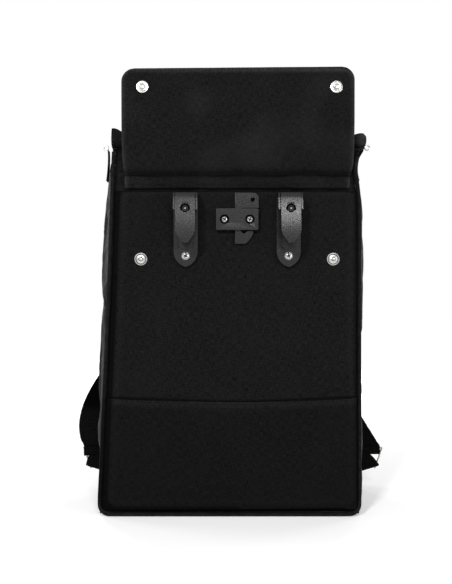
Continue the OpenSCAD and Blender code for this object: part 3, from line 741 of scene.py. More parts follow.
# One row of topstitching runs up the left edge, round both corners and down the right edge.
rim_inset = 2.6
rim_turn, straight = flap_corner - rim_inset, flap_len - flap_corner
turns = [math.radians(a) for a in range(0, 91, 10)]
corner_l, corner_r = eased(flap_left, straight) + flap_corner, eased(flap_right, straight) - flap_corner
rim_row = [(eased(flap_left, h) + rim_inset, h) for h in range(6, int(straight), 3)]
rim_row += [(corner_l - rim_turn * math.cos(a), straight + rim_turn * math.sin(a)) for a in turns]
rim_row += [(corner_r + rim_turn * math.sin(a), straight + rim_turn * math.cos(a)) for a in turns]
rim_row += [(eased(flap_right, h) - rim_inset, h) for h in range(int(straight), 5, -3)]
rim_stitches = sew("flap_rim_stitches", [[
    on_flap(x, flap_height(x, h), flap_out(x, h) + 1.3) for x, h in rim_row]], (0, -1, 0), body=None)
on_both_leaves(rim_stitches)

# Snap fasteners: four-part press studs in nickel-plated brass, riveted through the cloth. The flap
# carries the sockets and their caps, the back panel the studs.
nickel, tree = blank_material("nickel_plated_brass")
# Bright rolled plating: a warm grey mirror, dulled by fine handling scratches 0.4 mm apart and by
# faint stains a few millimetres wide.
where = add(tree, "TexCoord").outputs["Object"]
scratches = add(tree, "TexNoise", {"Vector": where, "Scale": 1 / (0.4 * mm), "Detail": 2.0})
stains = add(tree, "TexNoise", {"Vector": where, "Scale": 1 / (4 * mm), "Detail": 3.0})
plating = add(tree, "Mix", {
    0: stains.outputs["Fac"], 6: linear("#c3c2bf"), 7: linear("#8d8c8a")}, data_type="RGBA")
polish = add(tree, "MapRange", {
    "Value": stains.outputs["Fac"], "From Min": 0.3, "From Max": 0.7, "To Min": 0.16, "To Max": 0.34})
relief = add(tree, "Bump", {"Height": scratches.outputs["Fac"], "Strength": 0.12, "Distance": 0.05 * mm})
metal_face = add(tree, "BsdfPrincipled", {
    "Base Color": plating.outputs[2], "Metallic": 1.0, "Roughness": polish.outputs["Result"],
    "Normal": relief.outputs[0]})
add(tree, "OutputMaterial", {"Surface": metal_face.outputs[0]})


def turned(profile, steps=32):
    """A turned piece from (radius, height) points in millimetres, about its own Z axis."""
    shape = bmesh.new()
    rim = [shape.verts.new((radius * mm, 0, height * mm)) for radius, height in profile]
    line = [shape.edges.new(pair) for pair in zip(rim, rim[1:])]
    bmesh.ops.spin(shape, geom=rim + line, cent=(0, 0, 0), axis=(0, 0, 1), angle=2 * math.pi, steps=steps,
                   use_merge=True)
    bmesh.ops.remove_doubles(shape, verts=shape.verts, dist=0.005 * mm)
    bmesh.ops.recalc_face_normals(shape, faces=shape.faces)
    return shape


def set_on(shape, at, out):
    """Stands a turned piece on a point in millimetres, its Z axis along out."""
    place = Matrix.Translation(Vector(at) * mm) @ Vector(out).to_track_quat("Z", "Y").to_matrix().to_4x4()
    bmesh.ops.transform(shape, matrix=place, verts=shape.verts)
    return shape


def joined(shapes):
    """Several bmeshes as one."""
    whole = bmesh.new()
    for shape in shapes:
        part = bpy.data.meshes.new("part")
        shape.to_mesh(part)
        whole.from_mesh(part)
        bpy.data.meshes.remove(part)
        shape.free()
    return whole


def riveted(name, profile, places, way, body, node):
    """One part of the snaps, turned in brass, at each of its places."""
    parts = piece(joined([set_on(turned(profile), at, way) for at in places]), name, nickel, body)
    parts.data.set_sharp_from_angle(angle=math.radians(40))
    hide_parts(node)


socket_face = [
    (0, -0.4), (0, 0.5), (2.5, 0.5), (2.9, 0.8), (3.0, 1.7), (3.5, 2.05), (4.5, 2.05), (4.9, 1.7), (5.0, 1.0),
    (5.6, 0.8), (6.3, 0.95), (6.8, 0.7), (6.95, 0.2), (6.95, -0.4), (0, -0.4)]
stud_face = [
    (0, -0.4), (0, 5.9), (1.3, 5.6), (2.3, 4.7), (2.6, 3.6), (2.2, 2.6), (2.0, 1.2), (2.6, 0.7), (5.0, 0.6),
    (5.5, 1.0), (6.1, 1.55), (6.9, 1.5), (7.3, 1.0), (7.35, -0.4), (0, -0.4)]
cap_face = [
    (0, -0.4), (0, 1.4), (3.0, 1.35), (5.5, 1.1), (6.8, 0.7), (7.3, 0.2), (7.35, -0.4), (0, -0.4)]
socket_x, socket_h = (-105.6, 111.5), 114.5
stud_x, stud_y, stud_z = (-106.7, 106.7), -70, 286.5
flap_out_way = Vector((0, -math.cos(flap_lean), math.sin(flap_lean)))


def socket_places(layer):
    """Where the sockets or their caps sit: on the flap's outer or inner layer."""
    return [on_flap(x, socket_h, flap_out(x, socket_h) + layer * flap_t / 2) for x in socket_x]


riveted("flap_sockets", socket_face, socket_places(1), flap_out_way, "flap", "flap_snap_sockets")
riveted("flap_caps", cap_face, socket_places(-1), -flap_out_way, "flap", "flap_snap_caps")
stud_places = [(x, stud_y, stud_z) for x in stud_x]
riveted("panel_studs", stud_face, stud_places, (0, -1, 0), "bag", "panel_snap_studs")

# Rack hooks: injection-moulded nylon. A base plate with two cheeks is screwed through the board,
# and the hook arm's tongue comes down over the rack tube in front of it.
nylon, tree = blank_material("moulded_black_nylon")
# Glass-filled nylon from a spark-eroded mould: a dark satin skin with a fine leathery grain. The
# grain is about 0.4 mm, drawn at 1.3 mm so that it shows.
where = add(tree, "TexCoord").outputs["Object"]
grain = add(tree, "TexNoise", {"Vector": where, "Scale": 1 / (1.3 * mm), "Detail": 3.0, "Roughness": 0.7})
flow = add(tree, "TexNoise", {"Vector": where, "Scale": 1 / (12 * mm), "Detail": 2.0})
skin = add(tree, "Mix", {
    0: flow.outputs["Fac"], 6: linear("#101010"), 7: linear("#1a1a1a")}, data_type="RGBA")
satin = add(tree, "MapRange", {
    "Value": grain.outputs["Fac"], "From Min": 0.3, "From Max": 0.7, "To Min": 0.17, "To Max": 0.34})
relief = add(tree, "Bump", {"Height": grain.outputs["Fac"], "Strength": 0.5, "Distance": 0.16 * mm})
nylon_face = add(tree, "BsdfPrincipled", {
    "Base Color": skin.outputs[2], "Roughness": satin.outputs["Result"], "IOR": 1.53,
    "Specular IOR Level": 0.26, "Normal": relief.outputs[0]})
add(tree, "OutputMaterial", {"Surface": nylon_face.outputs[0]})

hook_x, hook_front, cheek_front = 57, -97.5, -94
tongue_tip, screw_z, cap_edge, hook_top = 303, 340, 357.4, 360.5
hook_lean, arm_slim, tip_slim, tip_run, mark_r = 7.5, 0.95, 0.28, 14, 6.4


def hook_bow(z):
    """How far the hook's front leans back: more towards its top, none at the adjusting screw."""
    up, screw_up = [(height - tongue_tip) / (hook_top - tongue_tip) for height in (z, screw_z)]
    return hook_lean * (up ** 2 - screw_up ** 2)


def softened(node, name, width, material, body, bow=None, slim=None):
    """A CAD piece's own shape with its moulded edges rounded.

    A hook's front is bowed by bow(height), and its arm drawn in to a tongue about the x slim.
    """
    shape = bmesh.new()
    shape.from_mesh(bpy.data.objects[node].data)
    bmesh.ops.remove_doubles(shape, verts=shape.verts, dist=0.004 * mm)
    bmesh.ops.dissolve_limit(shape, angle_limit=math.radians(0.5), verts=shape.verts, edges=shape.edges)
    if bow is not None:
        for z in range(tongue_tip + 3, 356, 3):
            bmesh.ops.bisect_plane(shape, geom=shape.verts[:] + shape.edges[:] + shape.faces[:],
                                   plane_co=(0, 0, z * mm), plane_no=(0, 0, 1), dist=0.01 * mm)
        for vert in shape.verts:
            if vert.co.y < cheek_front * mm:
                vert.co.y += bow(vert.co.z / mm) * mm
                vert.co.z = min(vert.co.z, cap_edge * mm)
            if slim is not None:
                pointed = 1 - tip_slim * (1 - ramped(tongue_tip, tongue_tip + tip_run, vert.co.z / mm))
                vert.co.x = slim * mm + (vert.co.x - slim * mm) * arm_slim * pointed
    thing = piece(shape, name, material, body)
    thing.data.set_sharp_from_angle(angle=math.radians(35))
    rim = rounded(thing, "moulded_edges", width, 3, 35)
    rim.use_clamp_overlap, rim.miter_outer = True, "MITER_ARC"
    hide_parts(node)


for side, word in sides:
    softened(word + "_hook_base", word + "_hook_plate", 0.8, nylon, "bag", bow=hook_bow)
    softened(word + "_hook_arm", word + "_hook_tongue", 1.0, nylon, "bag", bow=hook_bow, slim=side * hook_x)
    softened(word + "_tube_jaw", word + "_jaw_block", 0.4, nylon, word + "_jaw")
    # a raised arc over the adjusting screw, which shows the way to turn it
    turns = [math.radians(a) for a in range(50, 131, 8)]
    arc = [(side * hook_x + mark_r * math.cos(a), screw_z + mark_r * math.sin(a)) for a in turns]
    tube(word + "_turn_mark", [(x, hook_front + hook_bow(z), z) for x, z in arc], 0.45, nylon)

# Stabiliser: a moulded clamp bar on two screws, and a C-shaped blade that slides behind it to fit
# the rack's stay.
softened("stabiliser_clamp", "stabiliser_bar", 0.7, nylon, "bag")
softened("stabiliser_blade", "stabiliser_slide_blade", 0.6, nylon, "stabiliser")

# Fasteners: dome-head screws, nuts, washers and backing plates in nickel-plated steel hold the hooks and
# the stabiliser to the board inside. The hooks' adjusting screws are blackened, and blackened plates
# in the hooks' throats paint the shade under their tongues.
black_steel, tree = blank_material("blackened_steel")
# Black oxide over machined steel: nearly black, with a dull metallic glint on its cut edges.
# The machining marks lie about 0.3 mm apart.
where = add(tree, "TexCoord").outputs["Object"]
marks = add(tree, "TexNoise", {"Vector": where, "Scale": 1 / (0.3 * mm), "Detail": 2.0})
oxide = add(tree, "Mix", {
    0: marks.outputs["Fac"], 6: linear("#0c0c0c"), 7: linear("#343434")}, data_type="RGBA")
relief = add(tree, "Bump", {"Height": marks.outputs["Fac"], "Strength": 0.2, "Distance": 0.05 * mm})
oxide_face = add(tree, "BsdfPrincipled", {
    "Base Color": oxide.outputs[2], "Metallic": 0.8, "Roughness": 0.38, "Normal": relief.outputs[0]})
add(tree, "OutputMaterial", {"Surface": oxide_face.outputs[0]})
for word in ("left", "right"):
    softened(word + "_adjusting_screw", word + "_adjuster", 0.25, black_steel, word + "_screw")


def finished(node, material):
    """Gives a CAD piece, which keeps its shape, a finished material."""
    data = bpy.data.objects[node].data
    data.materials.clear()
    data.materials.append(material)


shade_rubber, tree = blank_material("black_shade_rubber")
# Cut sheet rubber: the blackest thing on the bag, quite matt, with grey dust in its pores, which are
# about 0.5 mm wide. It makes the rings of painted shade round the screws.
where = add(tree, "TexCoord").outputs["Object"]
pores = add(tree, "TexNoise", {"Vector": where, "Scale": 1 / (0.5 * mm), "Detail": 2.0})
shade_black = add(tree, "Mix", {
    0: pores.outputs["Fac"], 6: linear("#010101"), 7: linear("#060606")}, data_type="RGBA")
relief = add(tree, "Bump", {"Height": pores.outputs["Fac"], "Strength": 0.3, "Distance": 0.05 * mm})
rubber_face = add(tree, "BsdfPrincipled", {
    "Base Color": shade_black.outputs[2], "Roughness": 0.9, "IOR": 1.52, "Specular IOR Level": 0.03,
    "Normal": relief.outputs[0]})
add(tree, "OutputMaterial", {"Surface": rubber_face.outputs[0]})
clamp_x, clamp_z, clamp_floor, base_screw_z = 14, 330.3, -74.8, 290
# Rings of painted shade: in the stabiliser screws' recesses and round the adjusting screws.
recess_shade_ring = [(3.95, 0), (3.95, 0.35), (5.2, 0.35), (5.2, 0), (3.95, 0)]
adjuster_shade_ring = [(3.1, 0), (3.1, 0.3), (3.4, 0.45), (5.0, 0.45), (5.4, 0.2), (5.4, 0), (3.1, 0)]
piece(joined(
    [set_on(turned(recess_shade_ring), (x, clamp_floor, clamp_z), (0, -1, 0)) for x in (-clamp_x, clamp_x)]
    + [set_on(turned(adjuster_shade_ring), (x, hook_front, screw_z), (0, -1, 0)) for x in (-hook_x, hook_x)]),
    "screw_shade_rings", shade_rubber, "bag")


def driver_cross(shape, node, x, z, span, width, tilt):
    """Adds two crossed bars just proud of a screw head: painted shade of its recess, or painted glints."""
    at = Matrix.Translation(Vector((x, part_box(node)[0][1] / mm + 0.3, z)) * mm)
    for turn, depth in ((tilt, 0.8), (tilt + 90, 0.74)):
        bmesh.ops.create_cube(shape, size=mm, matrix=(
            at @ Matrix.Rotation(math.radians(turn), 4, "Y") @ Matrix.Diagonal((span, depth, width, 1))))


# Painted shade in the dome screws' driver recesses.
recess_shade = bmesh.new()
for node, x, z, tilt in (
        ("hook_screws", -hook_x, base_screw_z, 30), ("hook_screws", hook_x, base_screw_z, 62),
        ("stabiliser_screws", -clamp_x, clamp_z, 38), ("stabiliser_screws", clamp_x, clamp_z, 20)):
    driver_cross(recess_shade, node, x, z, 4.4, 1.0, tilt)
piece(recess_shade, "screw_recess_shade", black_steel, "bag")
for side, word in sides:
    # Painted glints: a small nickel cross on each adjusting screw's recess.
    glint = bmesh.new()
    driver_cross(glint, word + "_adjusting_screw", side * hook_x, screw_z, 3.4, 0.7, 40 * side)
    piece(glint, word + "_adjuster_glint", nickel, word + "_screw")
# Painted shade under each hook's tongue: a dark rounded plate on the base plate.
plate_size, plate_y, plate_z, plate_corner = (15, 0.9, 21), -74.3, 308, 5
shade_patches = bmesh.new()
for x in (-hook_x, hook_x):
    bmesh.ops.create_cube(shade_patches, size=mm, matrix=(
        Matrix.Translation(Vector((x, plate_y, plate_z)) * mm) @ Matrix.Diagonal((*plate_size, 1))))
upright = [edge for edge in shade_patches.edges if abs((edge.verts[0].co - edge.verts[1].co).y) > 0.5 * mm]
bmesh.ops.bevel(
    shade_patches, geom=upright, affect="EDGES", offset=plate_corner * mm, segments=6, profile=0.5, material=-1)
painted_shade_plates = piece(shade_patches, "hook_shade_patches", black_steel, "bag")
painted_shade_plates.data.set_sharp_from_angle(angle=math.radians(50))
for node in ("hook_screws", "stabiliser_screws"):
    softened(node, node.replace("_", "_dome_", 1), 0.25, nickel, "bag")
for node in ("hook_nuts", "stabiliser_nuts", "hook_backing_plates", "panel_snap_washers"):
    softened(node, node.replace("_", "_plated_", 1), 0.3, nickel, "bag")

# Stiffener board: a cut polyethylene sheet in a pocket behind the back panel, which spreads the
# hooks' load.
board_sheet, tree = blank_material("cut_polyethylene_sheet")
# Extruded sheet: dark waxy grey, with a faint haze and shallow rolling marks 3 mm apart.
where = add(tree, "TexCoord").outputs["Object"]
haze = add(tree, "TexNoise", {"Vector": where, "Scale": 1 / (25 * mm), "Detail": 3.0})
rolling = add(tree, "TexWave", {
    "Vector": where, "Scale": bands_per_metre / (3 * mm), "Distortion": 2.0}, bands_direction="Z")
wax = add(tree, "Mix", {0: haze.outputs["Fac"], 6: linear("#38393a"), 7: linear("#48494a")}, data_type="RGBA")
relief = add(tree, "Bump", {"Height": rolling.outputs["Fac"], "Strength": 0.1, "Distance": 0.05 * mm})
board_face = add(tree, "BsdfPrincipled", {
    "Base Color": wax.outputs[2], "Roughness": 0.45, "IOR": 1.51, "Normal": relief.outputs[0]})
add(tree, "OutputMaterial", {"Surface": board_face.outputs[0]})
softened("stiffener_board", "stiffener_sheet", 0.5, board_sheet, "bag")

# Top cover: one width of canvas sewn to the front panel's top edge. It lies over the bag's mouth,
# and its free edge is rolled up tight behind the flap.
roll_at = Vector((0, -54, 422))
roll_r, roll_pitch, roll_turns = 8.3, 2.3, 2.2
roof_front, roof_z = 67.5, 412.6
roof_run = roof_front - roll_at.y
hem_drop, hem_out = 7.5, 4.2
roll_run = roll_turns * 2 * math.pi * (roll_r - roll_turns * roll_pitch / 2)
cover_run = hem_drop + roof_run + roll_run
cover_left, cover_right = -140.8, 146.0
roof_sag, gusset_lap, left_peak = 4.5, 5, 7


def cover_edge(side, share):
    """The cover's side edge: over the gusset's top from the front seam, then out to the roll's end."""
    over_gusset = side_x(side, 0.1 + 0.9 * (1 - share), 405) + side * 2
    return over_gusset + ((cover_left if side < 0 else cover_right) - over_gusset) * ramped(0.7, 1, share)


def lay_cover(u, v):
    """From the hem over the front seam, across the bag's mouth, and round into the roll."""
    along = v * cover_run - hem_drop
    share = min(max(along / roof_run, 0), 1)
    left, right = cover_edge(-1, share), cover_edge(1, share)
    x = left + u * (right - left)
    if along < 0:
        turn = math.pi / 2 * ramped(0, 1, -along / hem_drop)
        down = hem_drop * (1 - math.cos(turn))
        return x, roof_front + hem_out * math.sin(turn), roof_z - 1 - down + ramped(2, 0, -along)
    if along < roof_run:
        y = roof_front - along
        lap = ramped(9, 0, min(x - left, right - x))
        to_roll = ramped(0.8, 1, share)
        free = math.sin(math.pi * share) * (1 - to_roll)
        sag = roof_sag * free * (1 - lap) + 0.9 * ripple(x, y, 34, 5.5) * ramped(0, 12, along)
        lapped = gusset_lap * lap * ramped(0, 0.12, share) * (1 - ramped(0.75, 1, share))
        join = to_roll * (roll_at.z - roll_r - roof_z)
        return x, y, roof_z - sag * (1 - to_roll) - lapped + join
    turn = (along - roof_run) / roll_run * roll_turns
    from_left, from_right = x - cover_left, cover_right - x
    puff = 1 + 0.06 * ripple(x, turn * 8, 16, 6.1)
    puff -= 0.24 * ramped(5, 14, from_right) * ramped(60, 14, from_right)
    puff -= 0.4 * ramped(4.5, 0, from_right) ** 2
    r = (roll_r - turn * roll_pitch) * puff
    angle = 2 * math.pi * turn
    peak = left_peak * ramped(16, 2, from_left) * max(0, -math.cos(angle)) * (1 - turn / roll_turns)
    return x, roll_at.y - r * math.sin(angle), roll_at.z - r * math.cos(angle) + peak


def cover_wear_and_highlight(p):
    """How pale the cover is: rubbed in small patches, and a painted highlight on the roll's right end."""
    return 0.3 * max(0, ripple(p.x, p.y + p.z, 9, 4.1)) + 0.7 * ramped(134, 141, p.x) * ramped(412, 418, p.z)


cover = piece(cloth_grid(96, 126, lay_cover), "rolled_cover", canvas, body=None, facing=(0, 0, 1))
mark(cover, "wear_and_highlight", cover_wear_and_highlight)


def cover_held(p):
    """How firmly the roll, the front seam and the two gusset edges hold a point of the cover."""
    share = min(max((roof_front - p.y) / roof_run, 0), 1)
    from_edge = min(p.x - cover_edge(-1, share), cover_edge(1, share) - p.x)
    return 1 - ramped(-38, -26, p.y) * ramped(2, 12, roof_front - p.y) * ramped(8, 26, from_edge)


settle(cover, cover_held, spare=0.02, weight=0.5, limit=6)
thicken(cover, 1.3, 0.35, offset=0)
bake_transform(cover)
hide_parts("top_cover", "cover_roll")
sew("cover_edge_stitches", [[(x, roof_front - 4, roof_z + 0.7) for x in range(-138, 144, 4)]], (0, 0, 1))

# Side straps and loops: a short strip of webbing at each end of the rolled top, hanging from a
# small wire loop.
grosgrain, tree = blank_material("black_ribbed_webbing")
# Woven polyester webbing: flat ribs across the strip, with a soft gloss along each rib. The real
# ribs are 1 mm apart, drawn at 1.8 mm so that they show.
rib_step, warp_step = 1.8 * mm, 2.4 * mm
strip = add(tree, "UVMap", uv_map="strip").outputs["UV"]
ribs = add(tree, "TexWave", {
    "Vector": strip, "Scale": bands_per_metre / rib_step, "Distortion": 0.4, "Detail Scale": 3.0},
    bands_direction="Y")
warp = add(tree, "TexWave", {
    "Vector": strip, "Scale": bands_per_metre / warp_step, "Distortion": 0.6}, bands_direction="X")
where = add(tree, "TexCoord").outputs["Object"]
fuzz = add(tree, "TexNoise", {"Vector": where, "Scale": 1 / (3 * mm), "Detail": 3.0})
pattern = add(tree, "Math", {
    0: ribs.outputs["Fac"], 1: warp.outputs["Fac"], 2: fuzz.outputs["Fac"]}, operation="MULTIPLY_ADD")
evened = add(tree, "Math", {0: pattern.outputs[0], 1: 0.6}, operation="MULTIPLY")
ramp = add(tree, "ValToRGB", {"Fac": evened.outputs[0]})
for stop, place, colour in zip(ramp.color_ramp.elements, (0.15, 0.75), ("#030303", "#121212")):
    stop.position, stop.color = place, linear(colour)
relief = add(tree, "Bump", {"Height": ribs.outputs["Fac"], "Strength": 0.6, "Distance": 0.4 * mm})
# Painted shade: darkens the webbing nearly to black where the attribute says.
painted_shade = add(tree, "Attribute", attribute_name="painted_shade")
shaded = add(tree, "Mix", {
    0: painted_shade.outputs["Fac"], 6: ramp.outputs["Color"], 7: linear("#010101")}, data_type="RGBA")
webbing_face = add(tree, "BsdfPrincipled", {
    "Base Color": shaded.outputs[2], "Roughness": 0.75, "IOR": 1.5, "Specular IOR Level": 0.02,
    "Normal": relief.outputs[0]})
add(tree, "OutputMaterial", {"Surface": webbing_face.outputs[0]})


def strip_grid(columns, rows, lay, width, length):
    """A gridded strip of webbing with its own rib map, laid in shape like cloth."""
    cloth = bmesh.new()
    bmesh.ops.create_grid(cloth, x_segments=columns, y_segments=rows, size=0.5)
    ribs_map = cloth.loops.layers.uv.new("strip")
    for face in cloth.faces:
        for corner in face.loops:
            corner[ribs_map].uv = (corner.vert.co.x * width * mm, corner.vert.co.y * length * mm)
    for vert in cloth.verts:
        vert.co = Vector(lay(vert.co.x + 0.5, vert.co.y + 0.5)) * mm
    bmesh.ops.recalc_face_normals(cloth, faces=cloth.faces)
    return cloth


strap_w, strap_len, strap_foot, strap_back = 12, 34.5, 374, -66
# How far out each strap hangs, as (height, distance from the middle).
hang = {-1: [(374, 145.4), (385, 144.2), (398, 143.4), (408, 143.6)],
        1: [(374, 136.6), (385, 134.6), (398, 135.8), (408, 141.2)]}
for side, word in sides:

    def lay_side_strap(u, v):
        z = strap_foot + strap_len * v
        return side * eased(hang[side], z), strap_back + strap_w * u, z

    side_strap = piece(strip_grid(8, 24, lay_side_strap, strap_w, strap_len), word + "_side_webbing",
                       grosgrain, "cover", facing=(side, 0, 0))
    thicken(side_strap, 1.1, 0.25, offset=0)
    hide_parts(word + "_side_strap")
    finished(word + "_side_ring", nickel)

# Shoulder straps: padded canvas straps on the far side, sewn under a yoke at the top. Each runs down
# into ribbed webbing with a ladder adjuster, which ends in a sewn loop on a triangular ring.
pad_path = [
    (34, 78.5, 396), (34, 78.5, 384), (36, 79.5, 372), (42, 88, 345), (50, 98, 310), (62, 105, 268),
    (82, 107, 225), (108, 103, 190), (130, 94, 164)]
pad_w, pad_end_w, pad_t, binding_r = 52, 34, 9, 1.9


def run_frames(path, steps):
    """Even places along a smooth path, each as a point, a way along and a way across, square to Y."""
    points = [Vector(p) for p in path]
    lengths = [0]
    for a, b in zip(points, points[1:]):
        lengths.append(lengths[-1] + (b - a).length)
    tables = [[(s, p[i]) for s, p in zip(lengths, points)] for i in range(3)]
    spots = [Vector([eased(table, lengths[-1] * k / steps) for table in tables]) for k in range(steps + 1)]
    frames = []
    for k, spot in enumerate(spots):
        along = (spots[min(k + 1, steps)] - spots[max(k - 1, 0)]).normalized()
        across = along.cross(Vector((0, 1, 0))).normalized()
        frames.append((spot, along, across))
    return frames, lengths[-1]


pad_steps = 72
pad_frames, pad_len = run_frames(pad_path, pad_steps)


def pad_half(k):
    """Half the pad's width at a step down its length."""
    return (pad_w + (pad_end_w - pad_w) * k / pad_steps) / 2


def pad_shell(side):
    """A strap pad's stuffed outline: a flat tube, thinned at its bound edges and its two ends."""
    shell = bmesh.new()
    bmesh.ops.create_grid(shell, x_segments=pad_steps, y_segments=32, size=0.5)
    for vert in shell.verts:
        k = round((vert.co.x + 0.5) * pad_steps)
        turn = 2 * math.pi * (vert.co.y + 0.5)
        spot, along, across = pad_frames[k]
        share = k / pad_steps
        thick = pad_t * (0.45 + 0.55 * ramped(0, 0.06, min(share, 1 - share)))
        c, s = math.cos(turn), math.sin(turn)
        flat = math.copysign(abs(c) ** 0.55, c) * pad_half(k)
        full = math.copysign(abs(s) ** 0.75, s) * thick / 2
        full += 0.35 * ripple(flat, share * pad_len, 16, 3.0 + side) * abs(s)
        at = spot + across * flat + across.cross(along) * full
        vert.co = Vector((side * at.x, at.y, at.z)) * mm
    bmesh.ops.remove_doubles(shell, verts=shell.verts, dist=0.01 * mm)
    ends = [edge for edge in shell.edges if edge.is_boundary]
    bmesh.ops.holes_fill(shell, edges=ends, sides=0)
    bmesh.ops.recalc_face_normals(shell, faces=shell.faces)
    return shell


def pad_held(point, side):
    """How firmly a strap pad's bound edges, and its two ends, hold a point of its cloth."""
    at = Vector((side * point.x, point.y, point.z))
    k = min(range(pad_steps + 1), key=lambda i: (pad_frames[i][0] - at).length_squared)
    spot, _, across = pad_frames[k]
    in_from_edge = pad_half(k) - abs((at - spot).dot(across))
    return 1 - 0.98 * ramped(1.5, 6, in_from_edge) * ramped(1, 4, min(k, pad_steps - k))


webbing_runs = {
    -1: [(128, 95.5, 167), (146, 88, 152), (162, 80, 134), (173.5, 73, 115), (180.5, 66, 98), (183.5, 59, 80),
         (182.5, 53, 65), (178, 48, 54.8)],
    1: [(128, 95.5, 167), (133, 91, 155), (138, 84, 135), (144, 74, 110), (151, 64, 88), (160, 56, 72),
        (168, 51, 62), (174.8, 48, 54.8)]}
band_w, band_top_w, band_loop_w = 28, 29.5, 24.5
# The sewn loop on each ring: its share of the band's grid, its place, its sizes and the cloth it takes.
loop_share, loop_cloth, loop_deep, loop_rise = 0.14, 14, 2.6, 2.3
loop_at = {-1: Vector((177.4, 48, 52)), 1: Vector((174.4, 48, 52))}
loop_drop = {-1: 10, 1: 8}
band_steps = 60
for side, word in sides:
    pad = piece(pad_shell(side), word + "_strap_pad", canvas)
    mark(pad, "wear_and_highlight", lambda p: 0.3 * max(0, ripple(p.x, p.z, 10, 1.7)))
    settle(pad, lambda p: pad_held(p, side), spare=0.03, swell=3, limit=3)
    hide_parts(word + "_shoulder_strap")
    for edge, edge_word in ((-1, "_inner"), (1, "_outer")):
        rim = []
        for k in range(0, pad_steps + 1, 3):
            spot, _, across = pad_frames[k]
            at = spot + across * edge * (pad_half(k) - 0.4)
            rim.append((side * at.x, at.y, at.z))
        binding = tube(word + edge_word + "_pad_binding", rim, binding_r, canvas)
        mark(binding, "wear_and_highlight", lambda p: 0.4)
    frames, run_len = run_frames(webbing_runs[side], band_steps)

    def lay_webbing(u, v):
        """Down the strap to the ring's top wire, then round it and back up in a sewn loop."""
        share = min(v / (1 - loop_share), 1)
        spot, along, across = frames[round(share * band_steps)]
        width = band_top_w + (band_loop_w - band_top_w) * ramped(0.75, 1, share)
        level = across.lerp(Vector((1, 0, 0)), ramped(0.8, 1, share)).normalized()
        at = spot + level * width * (0.5 - u)
        at += across.cross(along) * 1.2 * math.sin(math.pi * u) * math.sin(math.pi * share)
        if v > 1 - loop_share:
            turn = (v - 1 + loop_share) / loop_share * 1.75 * math.pi
            at = loop_at[side] + Vector(((0.5 - u) * band_loop_w, 0, 0))
            at.y += loop_deep * math.sin(turn)
            at.z += (loop_rise if math.cos(turn) > 0 else loop_drop[side]) * math.cos(turn)
        return side * at.x, at.y, at.z

    band_len = run_len + loop_cloth
    webbing = piece(strip_grid(16, 90, lay_webbing, band_w, band_len), word + "_strap_band", grosgrain, "bag")
    # Painted shadow of the pad over the band's upper part.
    mark(webbing, "painted_shade", lambda p: 0.85 * ramped(92, 106, p.z))
    thicken(webbing, 1.6, 0.3, offset=0)
    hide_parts(word + "_strap_webbing")
    softened(word + "_strap_adjuster", word + "_ladder_buckle", 0.8, nylon, "bag")
    finished(word + "_strap_ring", nickel)

# Strap tabs: a strip of webbing folded round each triangular ring's slanted side and sewn into the
# lower gusset seam.
ring_a, ring_c = Vector((160, 48, 52)), Vector((181, 48, 26))
slant = (ring_c - ring_a).normalized()
fold_a, fold_c = ring_a + slant * 7, ring_a + slant * 31
sewn_a, sewn_c = Vector((139, 48, 54)), Vector((139, 48, 16))
tab_w, tab_len, tab_turn, sewn_gap = 26, 90, 0.16, 0.9
tab_flat = (1 - tab_turn) / 2
# How far past the ring each tab's fold stands, at its upper and its lower end.
tab_slack = {-1: (15, 3), 1: (6, 2)}
for side, word in sides:

    def lay_tab(u, v):
        """Out from the seam, round the ring in a wider fold towards the bottom, and back to the seam."""
        fold = fold_a + (fold_c - fold_a) * u
        sewn = sewn_a + (sewn_c - sewn_a) * u
        upper, lower_end = tab_slack[side]
        fold += (fold - sewn).normalized() * (upper + (lower_end - upper) * u)
        fold_r = 3.0 + 1.6 * u
        if tab_flat <= v <= 1 - tab_flat:
            turn = (v - tab_flat) / tab_turn * math.pi
            at = fold + (fold - sewn).normalized() * fold_r * math.sin(turn)
            at.y -= fold_r * math.cos(turn)
        else:
            layer, share = (-1, v / tab_flat) if v < tab_flat else (1, (1 - v) / tab_flat)
            at = sewn + (fold - sewn) * share
            at.y += layer * (sewn_gap + (fold_r - sewn_gap) * ramped(0.05, 0.6, share))
        return side * at.x, at.y, at.z

    tab = piece(strip_grid(16, 60, lay_tab, tab_w, tab_len), word + "_ring_tab", grosgrain, "bag")
    thicken(tab, 1.4, 0.3, offset=0)
    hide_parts(word + "_strap_tab")

# Foot seam shadow: a narrow near-black strip of painted shade, laid into the seam between the lower
# panel and its piping. It climbs a little to the right, where the panel was sewn on slightly askew.
shadow_strip_x, shadow_strip_z = (-142, 130), (6.0, 8.2)


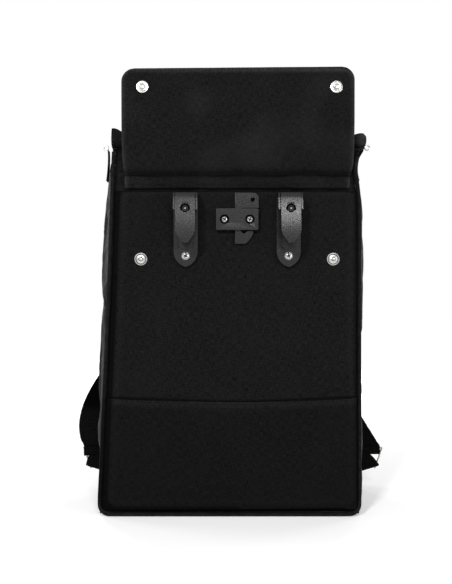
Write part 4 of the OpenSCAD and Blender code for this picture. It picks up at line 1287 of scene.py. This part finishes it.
def lay_foot_shadow_strip(u, v):
    x = shadow_strip_x[0] + (shadow_strip_x[1] - shadow_strip_x[0]) * u
    taper = min(ramped(shadow_strip_x[0], shadow_strip_x[0] + 20, x), ramped(shadow_strip_x[1], shadow_strip_x[1] - 16, x))
    width = 0.3 + (2.2 + 0.9 * ramped(-100, 100, x)) * taper
    z = shadow_strip_z[0] + (shadow_strip_z[1] - shadow_strip_z[0]) * u + (v - 0.5) * width
    return x, lower_face(x, z) - 0.5, z


foot_shadow_strip = piece(strip_grid(90, 6, lay_foot_shadow_strip, shadow_strip_x[1] - shadow_strip_x[0], 3), "foot_seam_shadow_strip", grosgrain,
                  "bag", facing=(0, -1, 0))
mark(foot_shadow_strip, "painted_shade", lambda p: 1)
thicken(foot_shadow_strip, 0.6, 0.15)

# Strap yoke: a doubled canvas patch, turned in and boxed with stitching, that covers the ends of the
# two shoulder straps.
yoke_half, yoke_z = 64, (370, 404)


def from_yoke_edge(x, z):
    """Distance in from the patch's outline."""
    return min(yoke_half - abs(x), z - yoke_z[0], yoke_z[1] - z)


def yoke_y(x, z):
    """The patch's outer face: raised over the ends of the two straps, down to the panel all round."""
    over_strap = ramped(64, 58, abs(x)) * ramped(2, 10, abs(x)) * ramped(404, 395, z)
    return 71 + 2.6 * ramped(-2, 5, from_yoke_edge(x, z)) + 11.6 * over_strap + 0.3 * ripple(x, z, 12, 3.3)


def lay_yoke(u, v):
    x, z = (2 * u - 1) * yoke_half, yoke_z[0] + v * (yoke_z[1] - yoke_z[0])
    return x, yoke_y(x, z), z


yoke = piece(cloth_grid(128, 36, lay_yoke), "yoke_patch", canvas, facing=(0, 1, 0))
mark(yoke, "wear_and_highlight", lambda p: 0.6 * hump(from_yoke_edge(p.x, p.z), 0, 3))
thicken(yoke, 1.8, 0.4)
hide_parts("strap_yoke")
row_inset = 4
inner, low, high = yoke_half - row_inset, yoke_z[0] + row_inset, yoke_z[1] - row_inset
box_row = [(x, low) for x in range(-inner, inner + 1, 2)] + [(x, high) for x in range(inner, -inner - 1, -2)]
sew("yoke_stitches", [[(x, yoke_y(x, z) + 0.1, z) for x, z in box_row]], (0, 1, 0))
